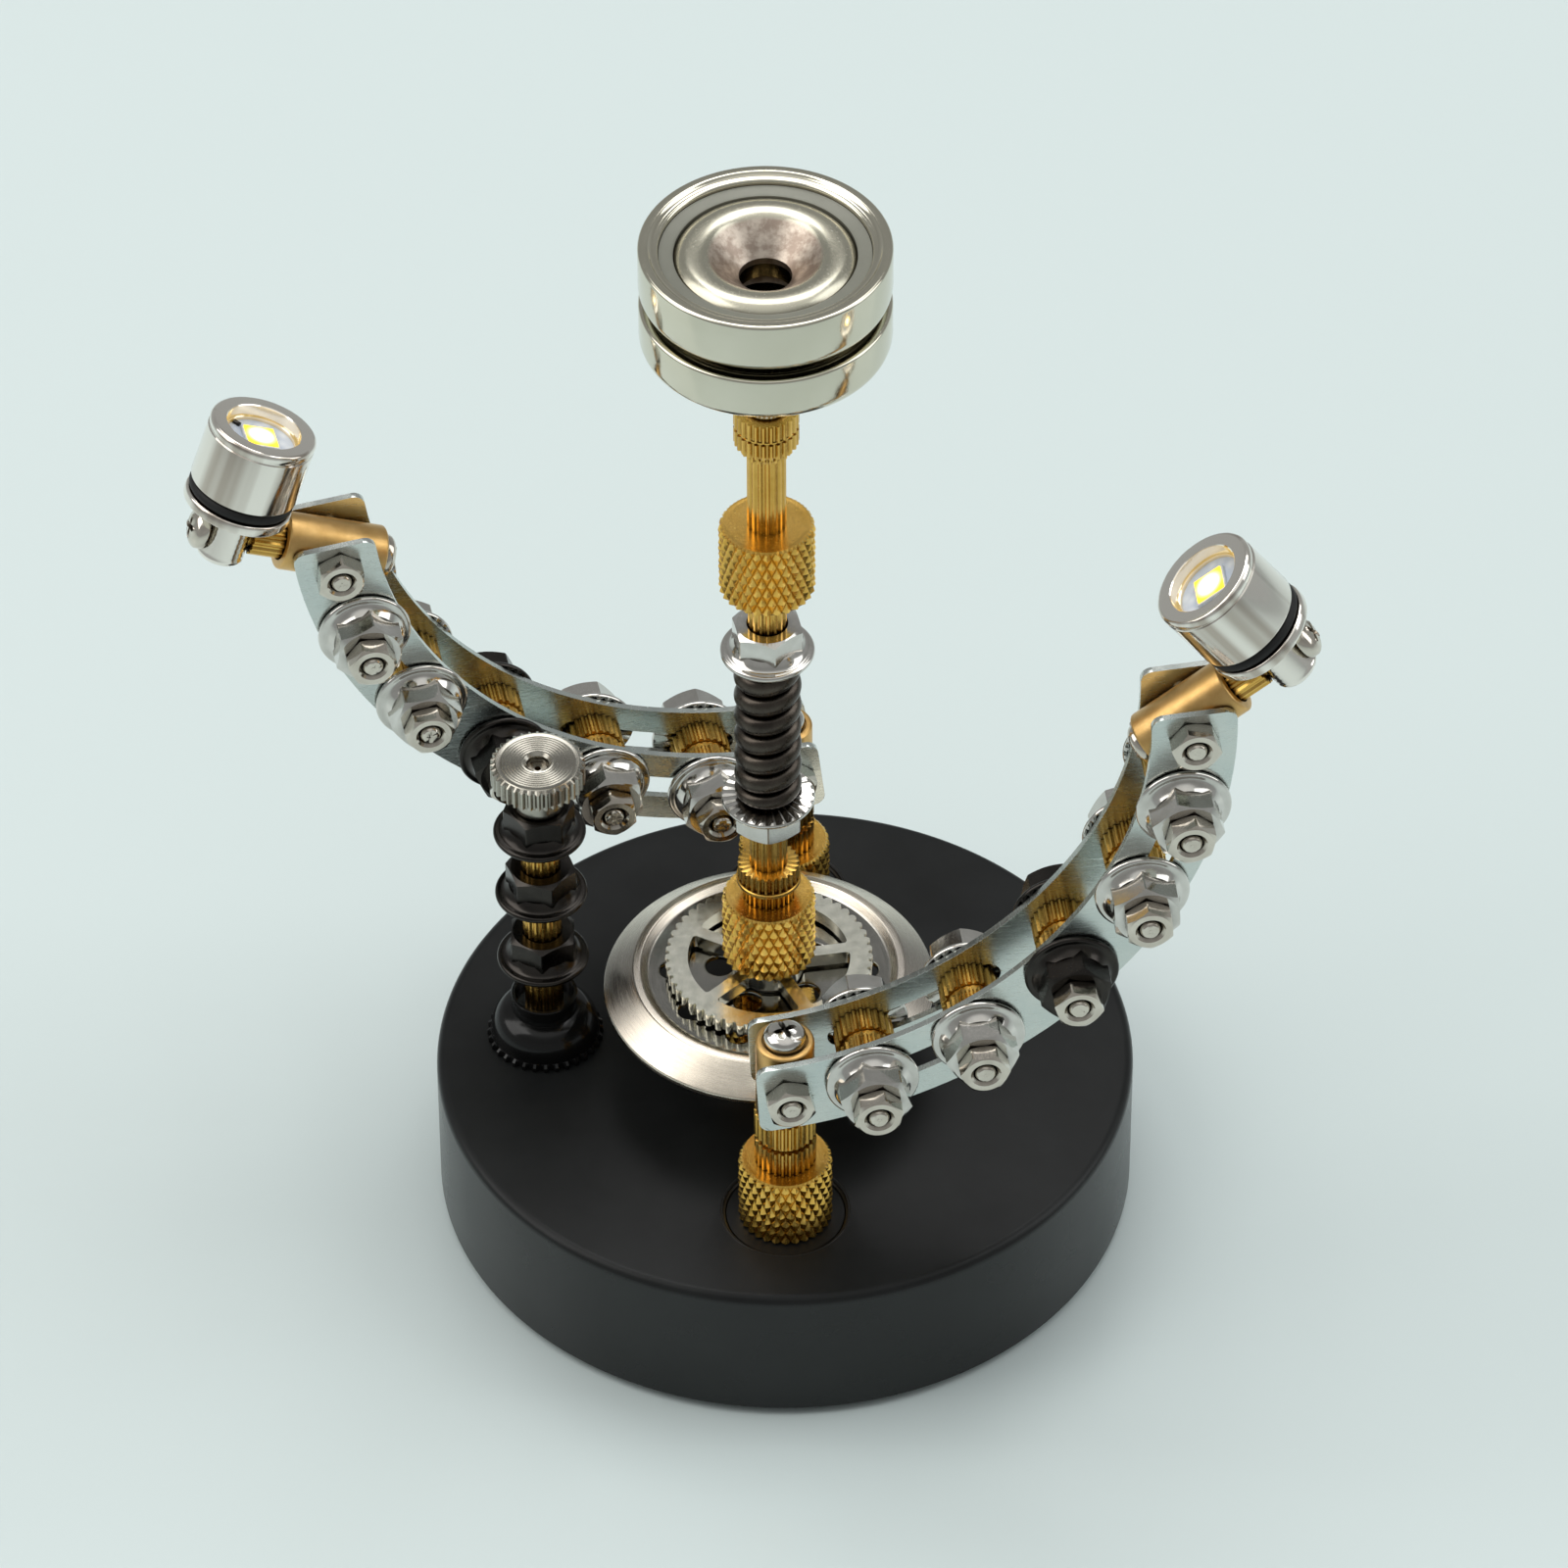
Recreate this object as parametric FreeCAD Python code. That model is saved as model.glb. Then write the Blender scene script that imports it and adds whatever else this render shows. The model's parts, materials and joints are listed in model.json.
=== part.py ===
import FreeCAD, Part
import math
import os

# Display stand with two lamp arms.  Millimetres and degrees, +Z up, the origin
# at the centre of the underside.  The stand looks towards -Y.

Vector = FreeCAD.Vector
Rotation = FreeCAD.Rotation
Placement = FreeCAD.Placement
UP = Vector(0, 0, 1)
ORIGIN = Vector(0, 0, 0)
FULL_TURN = 360.0
ALONG_X = Rotation(UP, Vector(1, 0, 0))
ALONG_MINUS_X = Rotation(UP, Vector(-1, 0, 0))
UPSIDE_DOWN = Rotation(Vector(1, 0, 0), FULL_TURN / 2)
MARGIN = 1.0                # cutting shapes run this far past what they cut

# ---- fits -------------------------------------------------------------------
RUNNING_GAP = 0.07          # radial play of a pivot that turns
THREAD_GAP = 0.05           # radial room between a thread and its bore
FACE_GAP = 0.05             # axial play between faces that turn on each other

# ---- base -------------------------------------------------------------------
BASE_RADIUS = 45.0
BASE_HEIGHT = 21.0
BASE_WALL = 2.0
BASE_TOP_THICKNESS = 2.5
BASE_RIM_ROUNDING = 1.3
FOOT_PAD_THICKNESS = 1.0
FOOT_PAD_RADIUS = 43.6
BASE_PLATE_THICKNESS = 2.0
BALLAST_TOP = 12.0
SKIRT_GAP = 0.4             # ballast and plate stay this clear of the skirt
RECESS_RADIUS = 8.0         # shallow seat round each brass post
RECESS_DEPTH = 0.5
SCREW_CIRCLE = 32.0
SCREW_ANGLES = (5.0, 125.0, 235.0)
BOSS_RADIUS = 4.0
BASE_SCREW_TOP = 16.5
BASE_SCREW_HEAD_RADIUS = 3.0

# ---- standard hardware ------------------------------------------------------
M3_RADIUS = 1.5
M3_NUT_FLATS = 5.5
M3_NUT_HEIGHT = 2.4
COLUMN_NUT_HEIGHT = 3.5     # plain nut on the column rod inside the base
HEXAGON_STEP = 60.0
PAN_HEAD_RADIUS = 2.7
PAN_HEAD_HEIGHT = 1.9
PAN_HEAD_EDGE = 0.76        # height of the upright edge of the head
PAN_HEAD_CROWN = (1.95, 1.64)    # radius and height of a point on the crown
CROSS_LENGTH = 3.4
CROSS_WIDTH = 0.7
CROSS_DEPTH = 0.9
FLANGE_NUT_FLATS = 8.0
FLANGE_NUT_RADIUS = 5.9
FLANGE_NUT_HEIGHT = 5.0
FLANGE_EDGE = 0.7
FLANGE_CONE_TOP = 1.9
FLANGE_NUT_BORE = 2.2
KNURLED_NUT_RADIUS = 6.0
KNURLED_NUT_HEIGHT = 10.3
KNURLED_NUT_CHAMFER = 0.4
INSERT_RADIUS = 3.9
INSERT_GROOVE_RADIUS = 3.3
INSERT_GROOVE_WIDTH = 0.6

# ---- posts of the arms ------------------------------------------------------
POST_OFFSET = 29.0          # front and rear post, measured from the centre
PIVOT_HEIGHT = 45.8         # lower cross bolt of each arm
BARREL_RADIUS = 3.7
BASE_BARREL_BELOW = 6.5
BASE_BARREL_ABOVE = 5.5
BARREL_WEB = 1.0            # metal between a barrel's cross bolt and its end screw
POST_STUD_BOTTOM = 15.0
POST_STUD_TOP = 42.6

# ---- centre column, heights from the table ----------------------------------
COLUMN_X = -2.0
COLUMN_ROD_RADIUS = 2.4
COLUMN_NECK_RADIUS = 1.95    # inside the spring
COLUMN_ROD_BOTTOM = 13.5
DISH_RADIUS = 21.25
DISH_RIM_HEIGHT = 32.8
DISH_CREST_RADIUS = 17.0
DISH_CREST_HEIGHT = 35.9
DISH_CREST_HALF_WIDTH = 0.5
DISH_CREST_FALL = 0.1
DISH_FLOOR_RADIUS = 15.6
DISH_FLOOR_HEIGHT = 35.2
DISH_SHEET = 0.8
DISH_INNER_HOLES = (5, 6.4, 1.8, 173.0)     # count, circle radius, hole radius, start
DISH_OUTER_HOLES = (10, 12.4, 1.6, 0.0)
GEAR_BOTTOM = 35.7
GEAR_TOP = 37.6
GEAR_HUB_TOP = 38.5
GEAR_TEETH = 54
GEAR_ROOT_RADIUS = 12.75
GEAR_TIP_RADIUS = 13.3
GEAR_TOOTH_HALF_WIDTH = 0.36     # as a share of the tooth pitch
GEAR_RIM_INNER_RADIUS = 10.4
GEAR_HUB_RADIUS = 4.4
GEAR_BOSS_RADIUS = 4.1
GEAR_SPOKES = 5
GEAR_SPOKE_WIDTH = 1.7
GEAR_SPOKE_START = 9.0
GEAR_WINDOW_ROUNDING = 0.5
LOWER_NUT_BOTTOM = 38.6
LOWER_COLLAR_HEIGHTS = (48.9, 51.5, 52.1, 54.5)
LOWER_COLLAR_RADII = (3.3, 4.1, 3.9)
SPRING_BOTTOM = 66.2
SPRING_TOP = 90.1
SPRING_OUTER_RADIUS = 4.25
SPRING_WIRE_RADIUS = 1.1
SPRING_PITCH = 3.3
UPPER_NUT_BOTTOM = 101.2
TOP_COLLAR_HEIGHTS = (123.6, 124.9, 127.3, 127.6, 130.2)
TOP_COLLAR_RADII = (3.2, 4.0, 3.7, 4.0)
MAGNET_BOSS_RADIUS = 2.9

# ---- pot magnets ------------------------------------------------------------
MAGNET_RADIUS = 15.25
MAGNET_BOTTOM = 140.6
LOWER_CUP_HEIGHT = 6.5
LOWER_RING_LIFT = 0.9       # the lower ring magnet stands over its cup's rim
UPPER_CUP_HEIGHT = 7.4
UPPER_RING_LIFT = -0.75     # the upper one lies below its cup's rim
MAGNET_RIM_RADIUS = 13.7
MAGNET_STEP_RADIUS = 12.8
MAGNET_STEP_DEPTH = 0.35
MAGNET_FLOOR = 2.0
MAGNET_EDGE_ROUNDING = 2.0
POTTING_DEPTH = 0.5         # below the top of the ring magnet
RING_MAGNET_RADIUS = 11.0
RING_MAGNET_ROUNDING = 0.8
COUNTERSINK_RADIUS = 6.7
MAGNET_HOLE_RADIUS = 3.2
COUNTERSINK_DEPTH = 3.3
MAGNET_SCREW_RADIUS = 1.9
MAGNET_SCREW_HEAD_HEIGHT = 1.3
MAGNET_SCREW_LENGTH = 8.0

# ---- knob post --------------------------------------------------------------
KNOB_POST = Vector(-31.0, 3.0, 0)
DOME_RADIUS = 7.5
DOME_EDGE = 1.0
DOME_BULGE = (6.6, 24.7)    # radius and height of a point on its curve
DOME_TOP = 26.2
DOME_COLLAR_RADIUS = 4.3
DOME_COLLAR_TOP = 28.6
DOME_MOUTH_RADIUS = 3.7
DOME_MOUTH_FLOOR = 27.1
BLACK_NUT_BOTTOMS = (34.6, 46.0, 56.6)
KNOB_SPACER_RADIUS = 2.45
KNOB_COLLAR_BOTTOM = 61.65
KNOB_COLLAR_RADIUS = 3.15
KNOB_BOTTOM = 65.7
KNOB_TOP = 69.0
KNOB_STUD_TOP = 67.0
KNOB_RADIUS = 6.0
KNOB_NUT_TURN = 20.0        # each black nut is turned on from the one below

# ---- curved arms ------------------------------------------------------------
ARC_RADIUS = 56.0
ARC_END = 41.3              # half angle from the middle of an arm to its end hole
STATION_ANGLES = (-30.5, -15.5, 0.0, 15.5, 30.5)
BLACK_STATION = 2
PLATE_WIDTH = 10.5
PLATE_THICKNESS = 0.9
PLATE_GAP = 7.8
PLATE_OVERHANG = 4.0
PLATE_CORNER = 1.5
SLOT_WIDTH = 3.3
SLOT_RANGE = (12.5, 33.5)
BOLT_HOLE_RADIUS = 1.6
SPACER_RADIUS = 3.8
SPACER_GROOVE_RADIUS = 3.3
SPACER_GROOVE_WIDTH = 0.9
BOLT_TIP = 0.3              # thread that stands out of the last nut

# ---- lamp bracket and lamp, along the bracket's own axis --------------------
ELBOW_FRONT = 7.0           # the elbow barrel reaches this far towards the lamp
ELBOW_BACK = 6.2
PIN_RADIUS = 2.4
PIN_START = 2.3
PIN_REACH = 14.1            # from the elbow bolt to the lamp's stub
PIN_SPIGOT_RADIUS = 1.4
STUB_RADIUS = 3.0
STUB_BELOW = 3.6
STUB_SCREW_RADIUS = 0.9
STUB_SCREW_LENGTH = 5.1
LAMP_CHAMFER = 0.3
CAP_FLANGE_BOTTOM = 3.8
CAP_FLANGE_TOP = 5.3
CAP_RADIUS = 6.9
CAP_SPIGOT_TOP = 8.6
CAP_SPIGOT_RADIUS = 5.0
O_RING_WIRE = 0.8
O_RING_RADIUS = 5.95
HEAD_BOTTOM = 6.95
HEAD_TOP = 15.9
HEAD_RADIUS = 6.85
HEAD_CHAMFER = 0.6
HEAD_SHOULDER = 13.9
HEAD_MOUTH_RADIUS = 4.75
HEAD_THROAT_RADIUS = 4.35
HEAD_MOUTH_DEPTH = 0.9
CELL_RADIUS = 3.95
CELL_HEIGHT = 2.1
CELL_COUNT = 2
BOARD_THICKNESS = 1.0
CHIP_SIZE = 3.6
CHIP_THICKNESS = 0.7

# side name: post position, heading of the arm, rise of its chord, lift of the
# bracket, roll of the lamp, side of the plates that carries the hexagon nuts
ARMS = {
    "right": (Vector(0, -POST_OFFSET, 0), 6.9, 48.1, 38.5, -3.0, 1),
    "left": (Vector(0, POST_OFFSET, 0), 191.5, 38.9, 21.0, 6.3, -1),
}


# ---- shape helpers ----------------------------------------------------------
def turned(outline):
    """Solid turned about Z from (radius, height) points."""
    points = [Vector(radius, 0, height) for radius, height in outline]
    return Part.Face(Part.makePolygon(points + points[:1])).revolve(ORIGIN, UP, FULL_TURN)


def disc(radius, low, high):
    return Part.makeCylinder(radius, high - low, Vector(0, 0, low))


def ring(outer, inner, low, high):
    return turned([(inner, low), (outer, low), (outer, high), (inner, high)])


def stepped_ring(radii, inner, heights):
    """Stack of coaxial rings that is one solid, one radius between two heights."""
    outline = [(inner, heights[0])]
    for radius, low, high in zip(radii, heights, heights[1:]):
        outline += [(radius, low), (radius, high)]
    outline.append((inner, heights[-1]))
    return turned(outline)


def hexagon(across_flats, low, high):
    corner = across_flats / math.sqrt(3)
    turns = [math.radians(HEXAGON_STEP * side) for side in range(6)]
    corners = [Vector(corner * math.cos(turn), corner * math.sin(turn), low) for turn in turns]
    prism = Part.Face(Part.makePolygon(corners + corners[:1])).extrude(Vector(0, 0, high - low))
    chamfer = corner - across_flats / 2
    drop = chamfer / 2
    bounds = turned([(0, low), (corner - chamfer, low), (corner, low + drop),
                     (corner, high - drop), (corner - chamfer, high), (0, high)])
    return prism.common(bounds)


def flange_nut():
    """Hexagon flange nut with the flange on Z = 0."""
    corner = FLANGE_NUT_FLATS / math.sqrt(3)
    flange = turned([(0, 0), (FLANGE_NUT_RADIUS, 0), (FLANGE_NUT_RADIUS, FLANGE_EDGE),
                     (corner, FLANGE_CONE_TOP), (0, FLANGE_CONE_TOP)])
    body = flange.fuse(hexagon(FLANGE_NUT_FLATS, 0, FLANGE_NUT_HEIGHT)).removeSplitter()
    return body


def bored_flange_nut(bore_radius):
    return flange_nut().cut(disc(bore_radius, -MARGIN, FLANGE_NUT_HEIGHT + MARGIN))


def small_nut():
    """M3 hexagon nut standing on Z = 0."""
    bore = disc(M3_RADIUS + THREAD_GAP, -MARGIN, M3_NUT_HEIGHT + MARGIN)
    return hexagon(M3_NUT_FLATS, 0, M3_NUT_HEIGHT).cut(bore)


def pan_head():
    """Domed screw head on Z = 0 with a cross recess."""
    rim = Vector(PAN_HEAD_RADIUS, 0, PAN_HEAD_EDGE)
    top = Vector(0, 0, PAN_HEAD_HEIGHT)
    crown_radius, crown_height = PAN_HEAD_CROWN
    crown = Part.Arc(rim, Vector(crown_radius, 0, crown_height), top).toShape()
    sides = Part.makePolygon([top, ORIGIN, Vector(PAN_HEAD_RADIUS, 0, 0), rim])
    head = Part.Face(Part.Wire([crown] + sides.Edges)).revolve(ORIGIN, UP, FULL_TURN)
    for length, width in ((CROSS_LENGTH, CROSS_WIDTH), (CROSS_WIDTH, CROSS_LENGTH)):
        corner = Vector(-length / 2, -width / 2, PAN_HEAD_HEIGHT - CROSS_DEPTH)
        head = head.cut(Part.makeBox(length, width, CROSS_DEPTH + MARGIN, corner))
    return head


def pan_screw(length):
    """Pan head screw: the head's underside is on Z = 0 and the shank hangs below."""
    return pan_head().fuse(disc(M3_RADIUS, -length, 0)).removeSplitter()


def moved(shape, position, rotation=None):
    copy = shape.copy()
    copy.Placement = Placement(position, rotation or Rotation()).multiply(shape.Placement)
    return copy


def group(shapes):
    return Part.makeCompound(shapes)


def ring_positions(count, radius, start):
    """Evenly spaced points on a circle about the origin."""
    turns = [math.radians(start + FULL_TURN * index / count) for index in range(count)]
    return [Vector(radius * math.cos(turn), radius * math.sin(turn), 0) for turn in turns]


# ---- base -------------------------------------------------------------------
def post_positions():
    """Centres of the three brass posts."""
    return [ARMS["right"][0], ARMS["left"][0], Vector(COLUMN_X, 0, 0)]


def boss_positions():
    return [ring_positions(1, SCREW_CIRCLE, angle)[0] for angle in SCREW_ANGLES]


def base_cover():
    inner = BASE_RADIUS - BASE_WALL
    ceiling = BASE_HEIGHT - BASE_TOP_THICKNESS
    shell = disc(BASE_RADIUS, FOOT_PAD_THICKNESS, BASE_HEIGHT)
    rim = [edge for edge in shell.Edges if abs(edge.BoundBox.ZMin - BASE_HEIGHT) < RUNNING_GAP]
    shell = shell.makeFillet(BASE_RIM_ROUNDING, rim)
    shell = shell.cut(disc(inner, 0, ceiling))
    for position in boss_positions():
        boss = ring(BOSS_RADIUS, M3_RADIUS + THREAD_GAP, BALLAST_TOP, ceiling)
        shell = shell.fuse(moved(boss, position))
    for position in post_positions():
        seat = disc(RECESS_RADIUS, BASE_HEIGHT - RECESS_DEPTH, BASE_HEIGHT + MARGIN)
        shell = shell.cut(moved(seat, position))
    bore_radii = (M3_RADIUS, M3_RADIUS, COLUMN_ROD_RADIUS, M3_RADIUS)
    for radius, position in zip(bore_radii, post_positions() + [KNOB_POST]):
        shell = shell.cut(moved(disc(radius + THREAD_GAP, 0, BASE_HEIGHT + MARGIN), position))
    return shell


def drilled_plate(radius, low, high, hole_radius):
    plate = disc(radius, low, high)
    for position in boss_positions():
        plate = plate.cut(moved(disc(hole_radius, low - MARGIN, high + MARGIN), position))
    return plate


def base_screw():
    """Countersunk screw up through the base plate and ballast into a boss."""
    low = FOOT_PAD_THICKNESS
    neck = low + BASE_SCREW_HEAD_RADIUS - M3_RADIUS
    return turned([(0, low), (BASE_SCREW_HEAD_RADIUS, low), (M3_RADIUS, neck),
                   (M3_RADIUS, BASE_SCREW_TOP), (0, BASE_SCREW_TOP)])


def base_nodes():
    plate_top = FOOT_PAD_THICKNESS + BASE_PLATE_THICKNESS
    inside = BASE_RADIUS - BASE_WALL - SKIRT_GAP
    hole = M3_RADIUS + THREAD_GAP
    plate = drilled_plate(inside, FOOT_PAD_THICKNESS, plate_top, hole)
    sink_radius = BASE_SCREW_HEAD_RADIUS + THREAD_GAP
    sink_bottom = FOOT_PAD_THICKNESS - MARGIN
    sink = turned([(0, sink_bottom), (sink_radius + MARGIN, sink_bottom),
                   (0, FOOT_PAD_THICKNESS + sink_radius)])
    for position in boss_positions():
        plate = plate.cut(moved(sink, position))
    ceiling = BASE_HEIGHT - BASE_TOP_THICKNESS
    nuts = [moved(small_nut(), Vector(place.x, place.y, ceiling - M3_NUT_HEIGHT))
            for place in (ARMS["right"][0], ARMS["left"][0], KNOB_POST)]
    rod_bore = disc(COLUMN_ROD_RADIUS + THREAD_GAP, -MARGIN, COLUMN_NUT_HEIGHT + MARGIN)
    column_nut = hexagon(FLANGE_NUT_FLATS, 0, COLUMN_NUT_HEIGHT).cut(rod_bore)
    nuts.append(moved(column_nut, Vector(COLUMN_X, 0, ceiling - COLUMN_NUT_HEIGHT)))
    return {
        "base_cover": base_cover(),
        "ballast_weight": drilled_plate(inside, plate_top, BALLAST_TOP, hole),
        "base_plate": plate,
        "foot_pad": disc(FOOT_PAD_RADIUS, 0, FOOT_PAD_THICKNESS),
        "base_screws": group([moved(base_screw(), position) for position in boss_positions()]),
        "inside_nuts": group(nuts),
    }


# ---- brass posts and column -------------------------------------------------
def knurled_nut(bore_radius):
    """Round thumb nut standing on Z = 0."""
    edge = KNURLED_NUT_RADIUS - KNURLED_NUT_CHAMFER
    top = KNURLED_NUT_HEIGHT
    return turned([(bore_radius, 0), (edge, 0), (KNURLED_NUT_RADIUS, KNURLED_NUT_CHAMFER),
                   (KNURLED_NUT_RADIUS, top - KNURLED_NUT_CHAMFER), (edge, top), (bore_radius, top)])


def threaded_insert(bore_radius, low, high):
    """Splined insert with a groove round its middle."""
    middle = (low + high) / 2
    half = INSERT_GROOVE_WIDTH / 2
    return stepped_ring((INSERT_RADIUS, INSERT_GROOVE_RADIUS, INSERT_RADIUS), bore_radius,
                        (low, middle - half, middle + half, high))


def collar(radii, heights):
    """Stack of splined tiers on the column rod."""
    return stepped_ring(radii, COLUMN_ROD_RADIUS + THREAD_GAP, heights)


def gear():
    """Spoked gear with round teeth."""
    tooth_pitch = math.radians(FULL_TURN / GEAR_TEETH)

    def rim_point(radius, turn):
        return Vector(radius * math.cos(turn), radius * math.sin(turn), GEAR_BOTTOM)

    half_tooth = tooth_pitch * GEAR_TOOTH_HALF_WIDTH
    edges = []
    for tooth in range(GEAR_TEETH):
        middle = tooth * tooth_pitch
        start = rim_point(GEAR_ROOT_RADIUS, middle - half_tooth)
        end = rim_point(GEAR_ROOT_RADIUS, middle + half_tooth)
        following = rim_point(GEAR_ROOT_RADIUS, middle + tooth_pitch - half_tooth)
        edges.append(Part.Arc(start, rim_point(GEAR_TIP_RADIUS, middle), end).toShape())
        edges.append(Part.LineSegment(end, following).toShape())
    thickness = GEAR_TOP - GEAR_BOTTOM
    blank = Part.Face(Part.Wire(edges)).extrude(Vector(0, 0, thickness))
    windows = ring(GEAR_RIM_INNER_RADIUS, GEAR_HUB_RADIUS, GEAR_BOTTOM - MARGIN, GEAR_TOP + MARGIN)
    for index in range(GEAR_SPOKES):
        spoke = Part.makeBox(GEAR_RIM_INNER_RADIUS + MARGIN, GEAR_SPOKE_WIDTH, thickness + 4 * MARGIN,
                             Vector(0, -GEAR_SPOKE_WIDTH / 2, GEAR_BOTTOM - 2 * MARGIN))
        turn = GEAR_SPOKE_START + FULL_TURN * index / GEAR_SPOKES
        windows = windows.cut(moved(spoke, ORIGIN, Rotation(UP, turn)))
    for window in windows.Solids:
        upright = [edge for edge in window.Edges
                   if edge.BoundBox.ZLength > thickness and edge.BoundBox.XLength < RUNNING_GAP]
        blank = blank.cut(window.makeFillet(GEAR_WINDOW_ROUNDING, upright))
    hub = disc(GEAR_BOSS_RADIUS, GEAR_BOTTOM, GEAR_HUB_TOP)
    bore = disc(COLUMN_ROD_RADIUS + RUNNING_GAP, 0, GEAR_HUB_TOP + MARGIN)
    return blank.fuse(hub).removeSplitter().cut(bore)


def dish():
    """Pressed sheet dish: low outer rim, rounded crest, drilled flat floor."""
    bore = COLUMN_ROD_RADIUS + THREAD_GAP
    top = [(bore, DISH_FLOOR_HEIGHT), (DISH_FLOOR_RADIUS, DISH_FLOOR_HEIGHT),
           (DISH_CREST_RADIUS - DISH_CREST_HALF_WIDTH, DISH_CREST_HEIGHT),
           (DISH_CREST_RADIUS + DISH_CREST_HALF_WIDTH, DISH_CREST_HEIGHT - DISH_CREST_FALL),
           (DISH_RADIUS, DISH_RIM_HEIGHT)]
    underside = [(radius, height - DISH_SHEET) for radius, height in reversed(top)]
    shape = turned(top + underside)
    for count, circle, hole, start in (DISH_INNER_HOLES, DISH_OUTER_HOLES):
        for position in ring_positions(count, circle, start):
            shape = shape.cut(moved(disc(hole, 0, DISH_CREST_HEIGHT + MARGIN), position))
    return shape


def spring():
    """Wire wound round the column rod, as one helical coil."""
    wire = SPRING_WIRE_RADIUS
    coil_radius = SPRING_OUTER_RADIUS - wire
    length = SPRING_TOP - SPRING_BOTTOM - 2 * wire
    path = Part.Wire(Part.makeHelix(SPRING_PITCH, length, coil_radius))
    section = Part.Wire(Part.makeCircle(wire, Vector(coil_radius, 0, 0), Vector(0, 1, 0)))
    coil = path.makePipeShell([section], True, True)
    return moved(coil, Vector(0, 0, SPRING_BOTTOM + wire))


def column_nodes():
    rod_bore = COLUMN_ROD_RADIUS + THREAD_GAP
    stud_bore = M3_RADIUS + THREAD_GAP
    seat = BASE_HEIGHT - RECESS_DEPTH
    nut_top = seat + KNURLED_NUT_HEIGHT
    column = Vector(COLUMN_X, 0, 0)
    nuts = [moved(knurled_nut(rod_bore), Vector(COLUMN_X, 0, height))
            for height in (seat, LOWER_NUT_BOTTOM, UPPER_NUT_BOTTOM)]
    barrel_bottom = PIVOT_HEIGHT - BASE_BARREL_BELOW
    inserts = []
    studs = []
    for post in (ARMS["right"][0], ARMS["left"][0]):
        nuts.append(moved(knurled_nut(stud_bore), Vector(post.x, post.y, seat)))
        inserts.append(moved(threaded_insert(stud_bore, nut_top, barrel_bottom - FACE_GAP), post))
        studs.append(moved(disc(M3_RADIUS, POST_STUD_BOTTOM, POST_STUD_TOP), post))
    studs.append(moved(disc(M3_RADIUS, POST_STUD_BOTTOM, KNOB_STUD_TOP), KNOB_POST))
    dish_underside = DISH_FLOOR_HEIGHT - DISH_SHEET
    inserts.append(moved(threaded_insert(rod_bore, nut_top, dish_underside), column))
    inserts.append(moved(collar(LOWER_COLLAR_RADII, LOWER_COLLAR_HEIGHTS), column))
    inserts.append(moved(collar(TOP_COLLAR_RADII, TOP_COLLAR_HEIGHTS), column))
    washer = ring(INSERT_RADIUS, rod_bore, DISH_FLOOR_HEIGHT, GEAR_BOTTOM - FACE_GAP)
    column_nut = bored_flange_nut(rod_bore)
    lower_flange_nut = moved(column_nut, Vector(COLUMN_X, 0, SPRING_BOTTOM), UPSIDE_DOWN)
    upper_flange_nut = moved(column_nut, Vector(COLUMN_X, 0, SPRING_TOP))
    rod_top = TOP_COLLAR_HEIGHTS[-1]
    rod = stepped_ring((COLUMN_ROD_RADIUS, COLUMN_NECK_RADIUS, COLUMN_ROD_RADIUS), 0,
                       (COLUMN_ROD_BOTTOM, SPRING_BOTTOM, SPRING_TOP, rod_top))
    boss = ring(MAGNET_BOSS_RADIUS, MAGNET_SCREW_RADIUS + THREAD_GAP, rod_top, MAGNET_BOTTOM)
    return {
        "column_rod": moved(rod, column),
        "knurled_nuts": group(nuts),
        "splined_inserts": group(inserts),
        "post_studs": group(studs),
        "dish": moved(dish(), column),
        "gear_washer": moved(washer, column),
        "gear": moved(gear(), column),
        "column_flange_nuts": group([lower_flange_nut, upper_flange_nut]),
        "spring": moved(spring(), column),
        "magnet_boss": moved(boss, column),
    }


# ---- pot magnets ------------------------------------------------------------
def magnet_cup(bottom, top):
    """Steel cup with a stepped rim, rounded below, and a screw hole in its floor."""
    floor = bottom + MAGNET_FLOOR
    step = top - MAGNET_STEP_DEPTH
    edge = MAGNET_EDGE_ROUNDING
    corner = Part.Arc(Vector(MAGNET_RADIUS - edge, 0, bottom),
                      Vector(MAGNET_RADIUS - edge * (1 - math.sqrt(0.5)), 0,
                             bottom + edge * (1 - math.sqrt(0.5))),
                      Vector(MAGNET_RADIUS, 0, bottom + edge)).toShape()
    outline = Part.makePolygon([
        Vector(MAGNET_RADIUS, 0, bottom + edge), Vector(MAGNET_RADIUS, 0, top),
        Vector(MAGNET_RIM_RADIUS, 0, top), Vector(MAGNET_RIM_RADIUS, 0, step),
        Vector(MAGNET_STEP_RADIUS, 0, step), Vector(MAGNET_STEP_RADIUS, 0, floor),
        Vector(MAGNET_HOLE_RADIUS, 0, floor), Vector(MAGNET_HOLE_RADIUS, 0, bottom),
        Vector(MAGNET_RADIUS - edge, 0, bottom)])
    return Part.Face(Part.Wire(outline.Edges + [corner])).revolve(ORIGIN, UP, FULL_TURN)


def ring_magnet(bottom, top):
    """Countersunk ring magnet that sits on the floor of the cup that starts at bottom."""
    low = bottom + MAGNET_FLOOR
    neck = top - COUNTERSINK_DEPTH
    blank = turned([(MAGNET_HOLE_RADIUS, low), (RING_MAGNET_RADIUS, low), (RING_MAGNET_RADIUS, top),
                    (COUNTERSINK_RADIUS, top), (MAGNET_HOLE_RADIUS, neck)])
    outer_edge = [edge for edge in blank.Edges
                  if abs(edge.BoundBox.XMax - RING_MAGNET_RADIUS) < RUNNING_GAP
                  and abs(edge.BoundBox.ZMin - top) < RUNNING_GAP]
    return blank.makeFillet(RING_MAGNET_ROUNDING, outer_edge)


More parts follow.
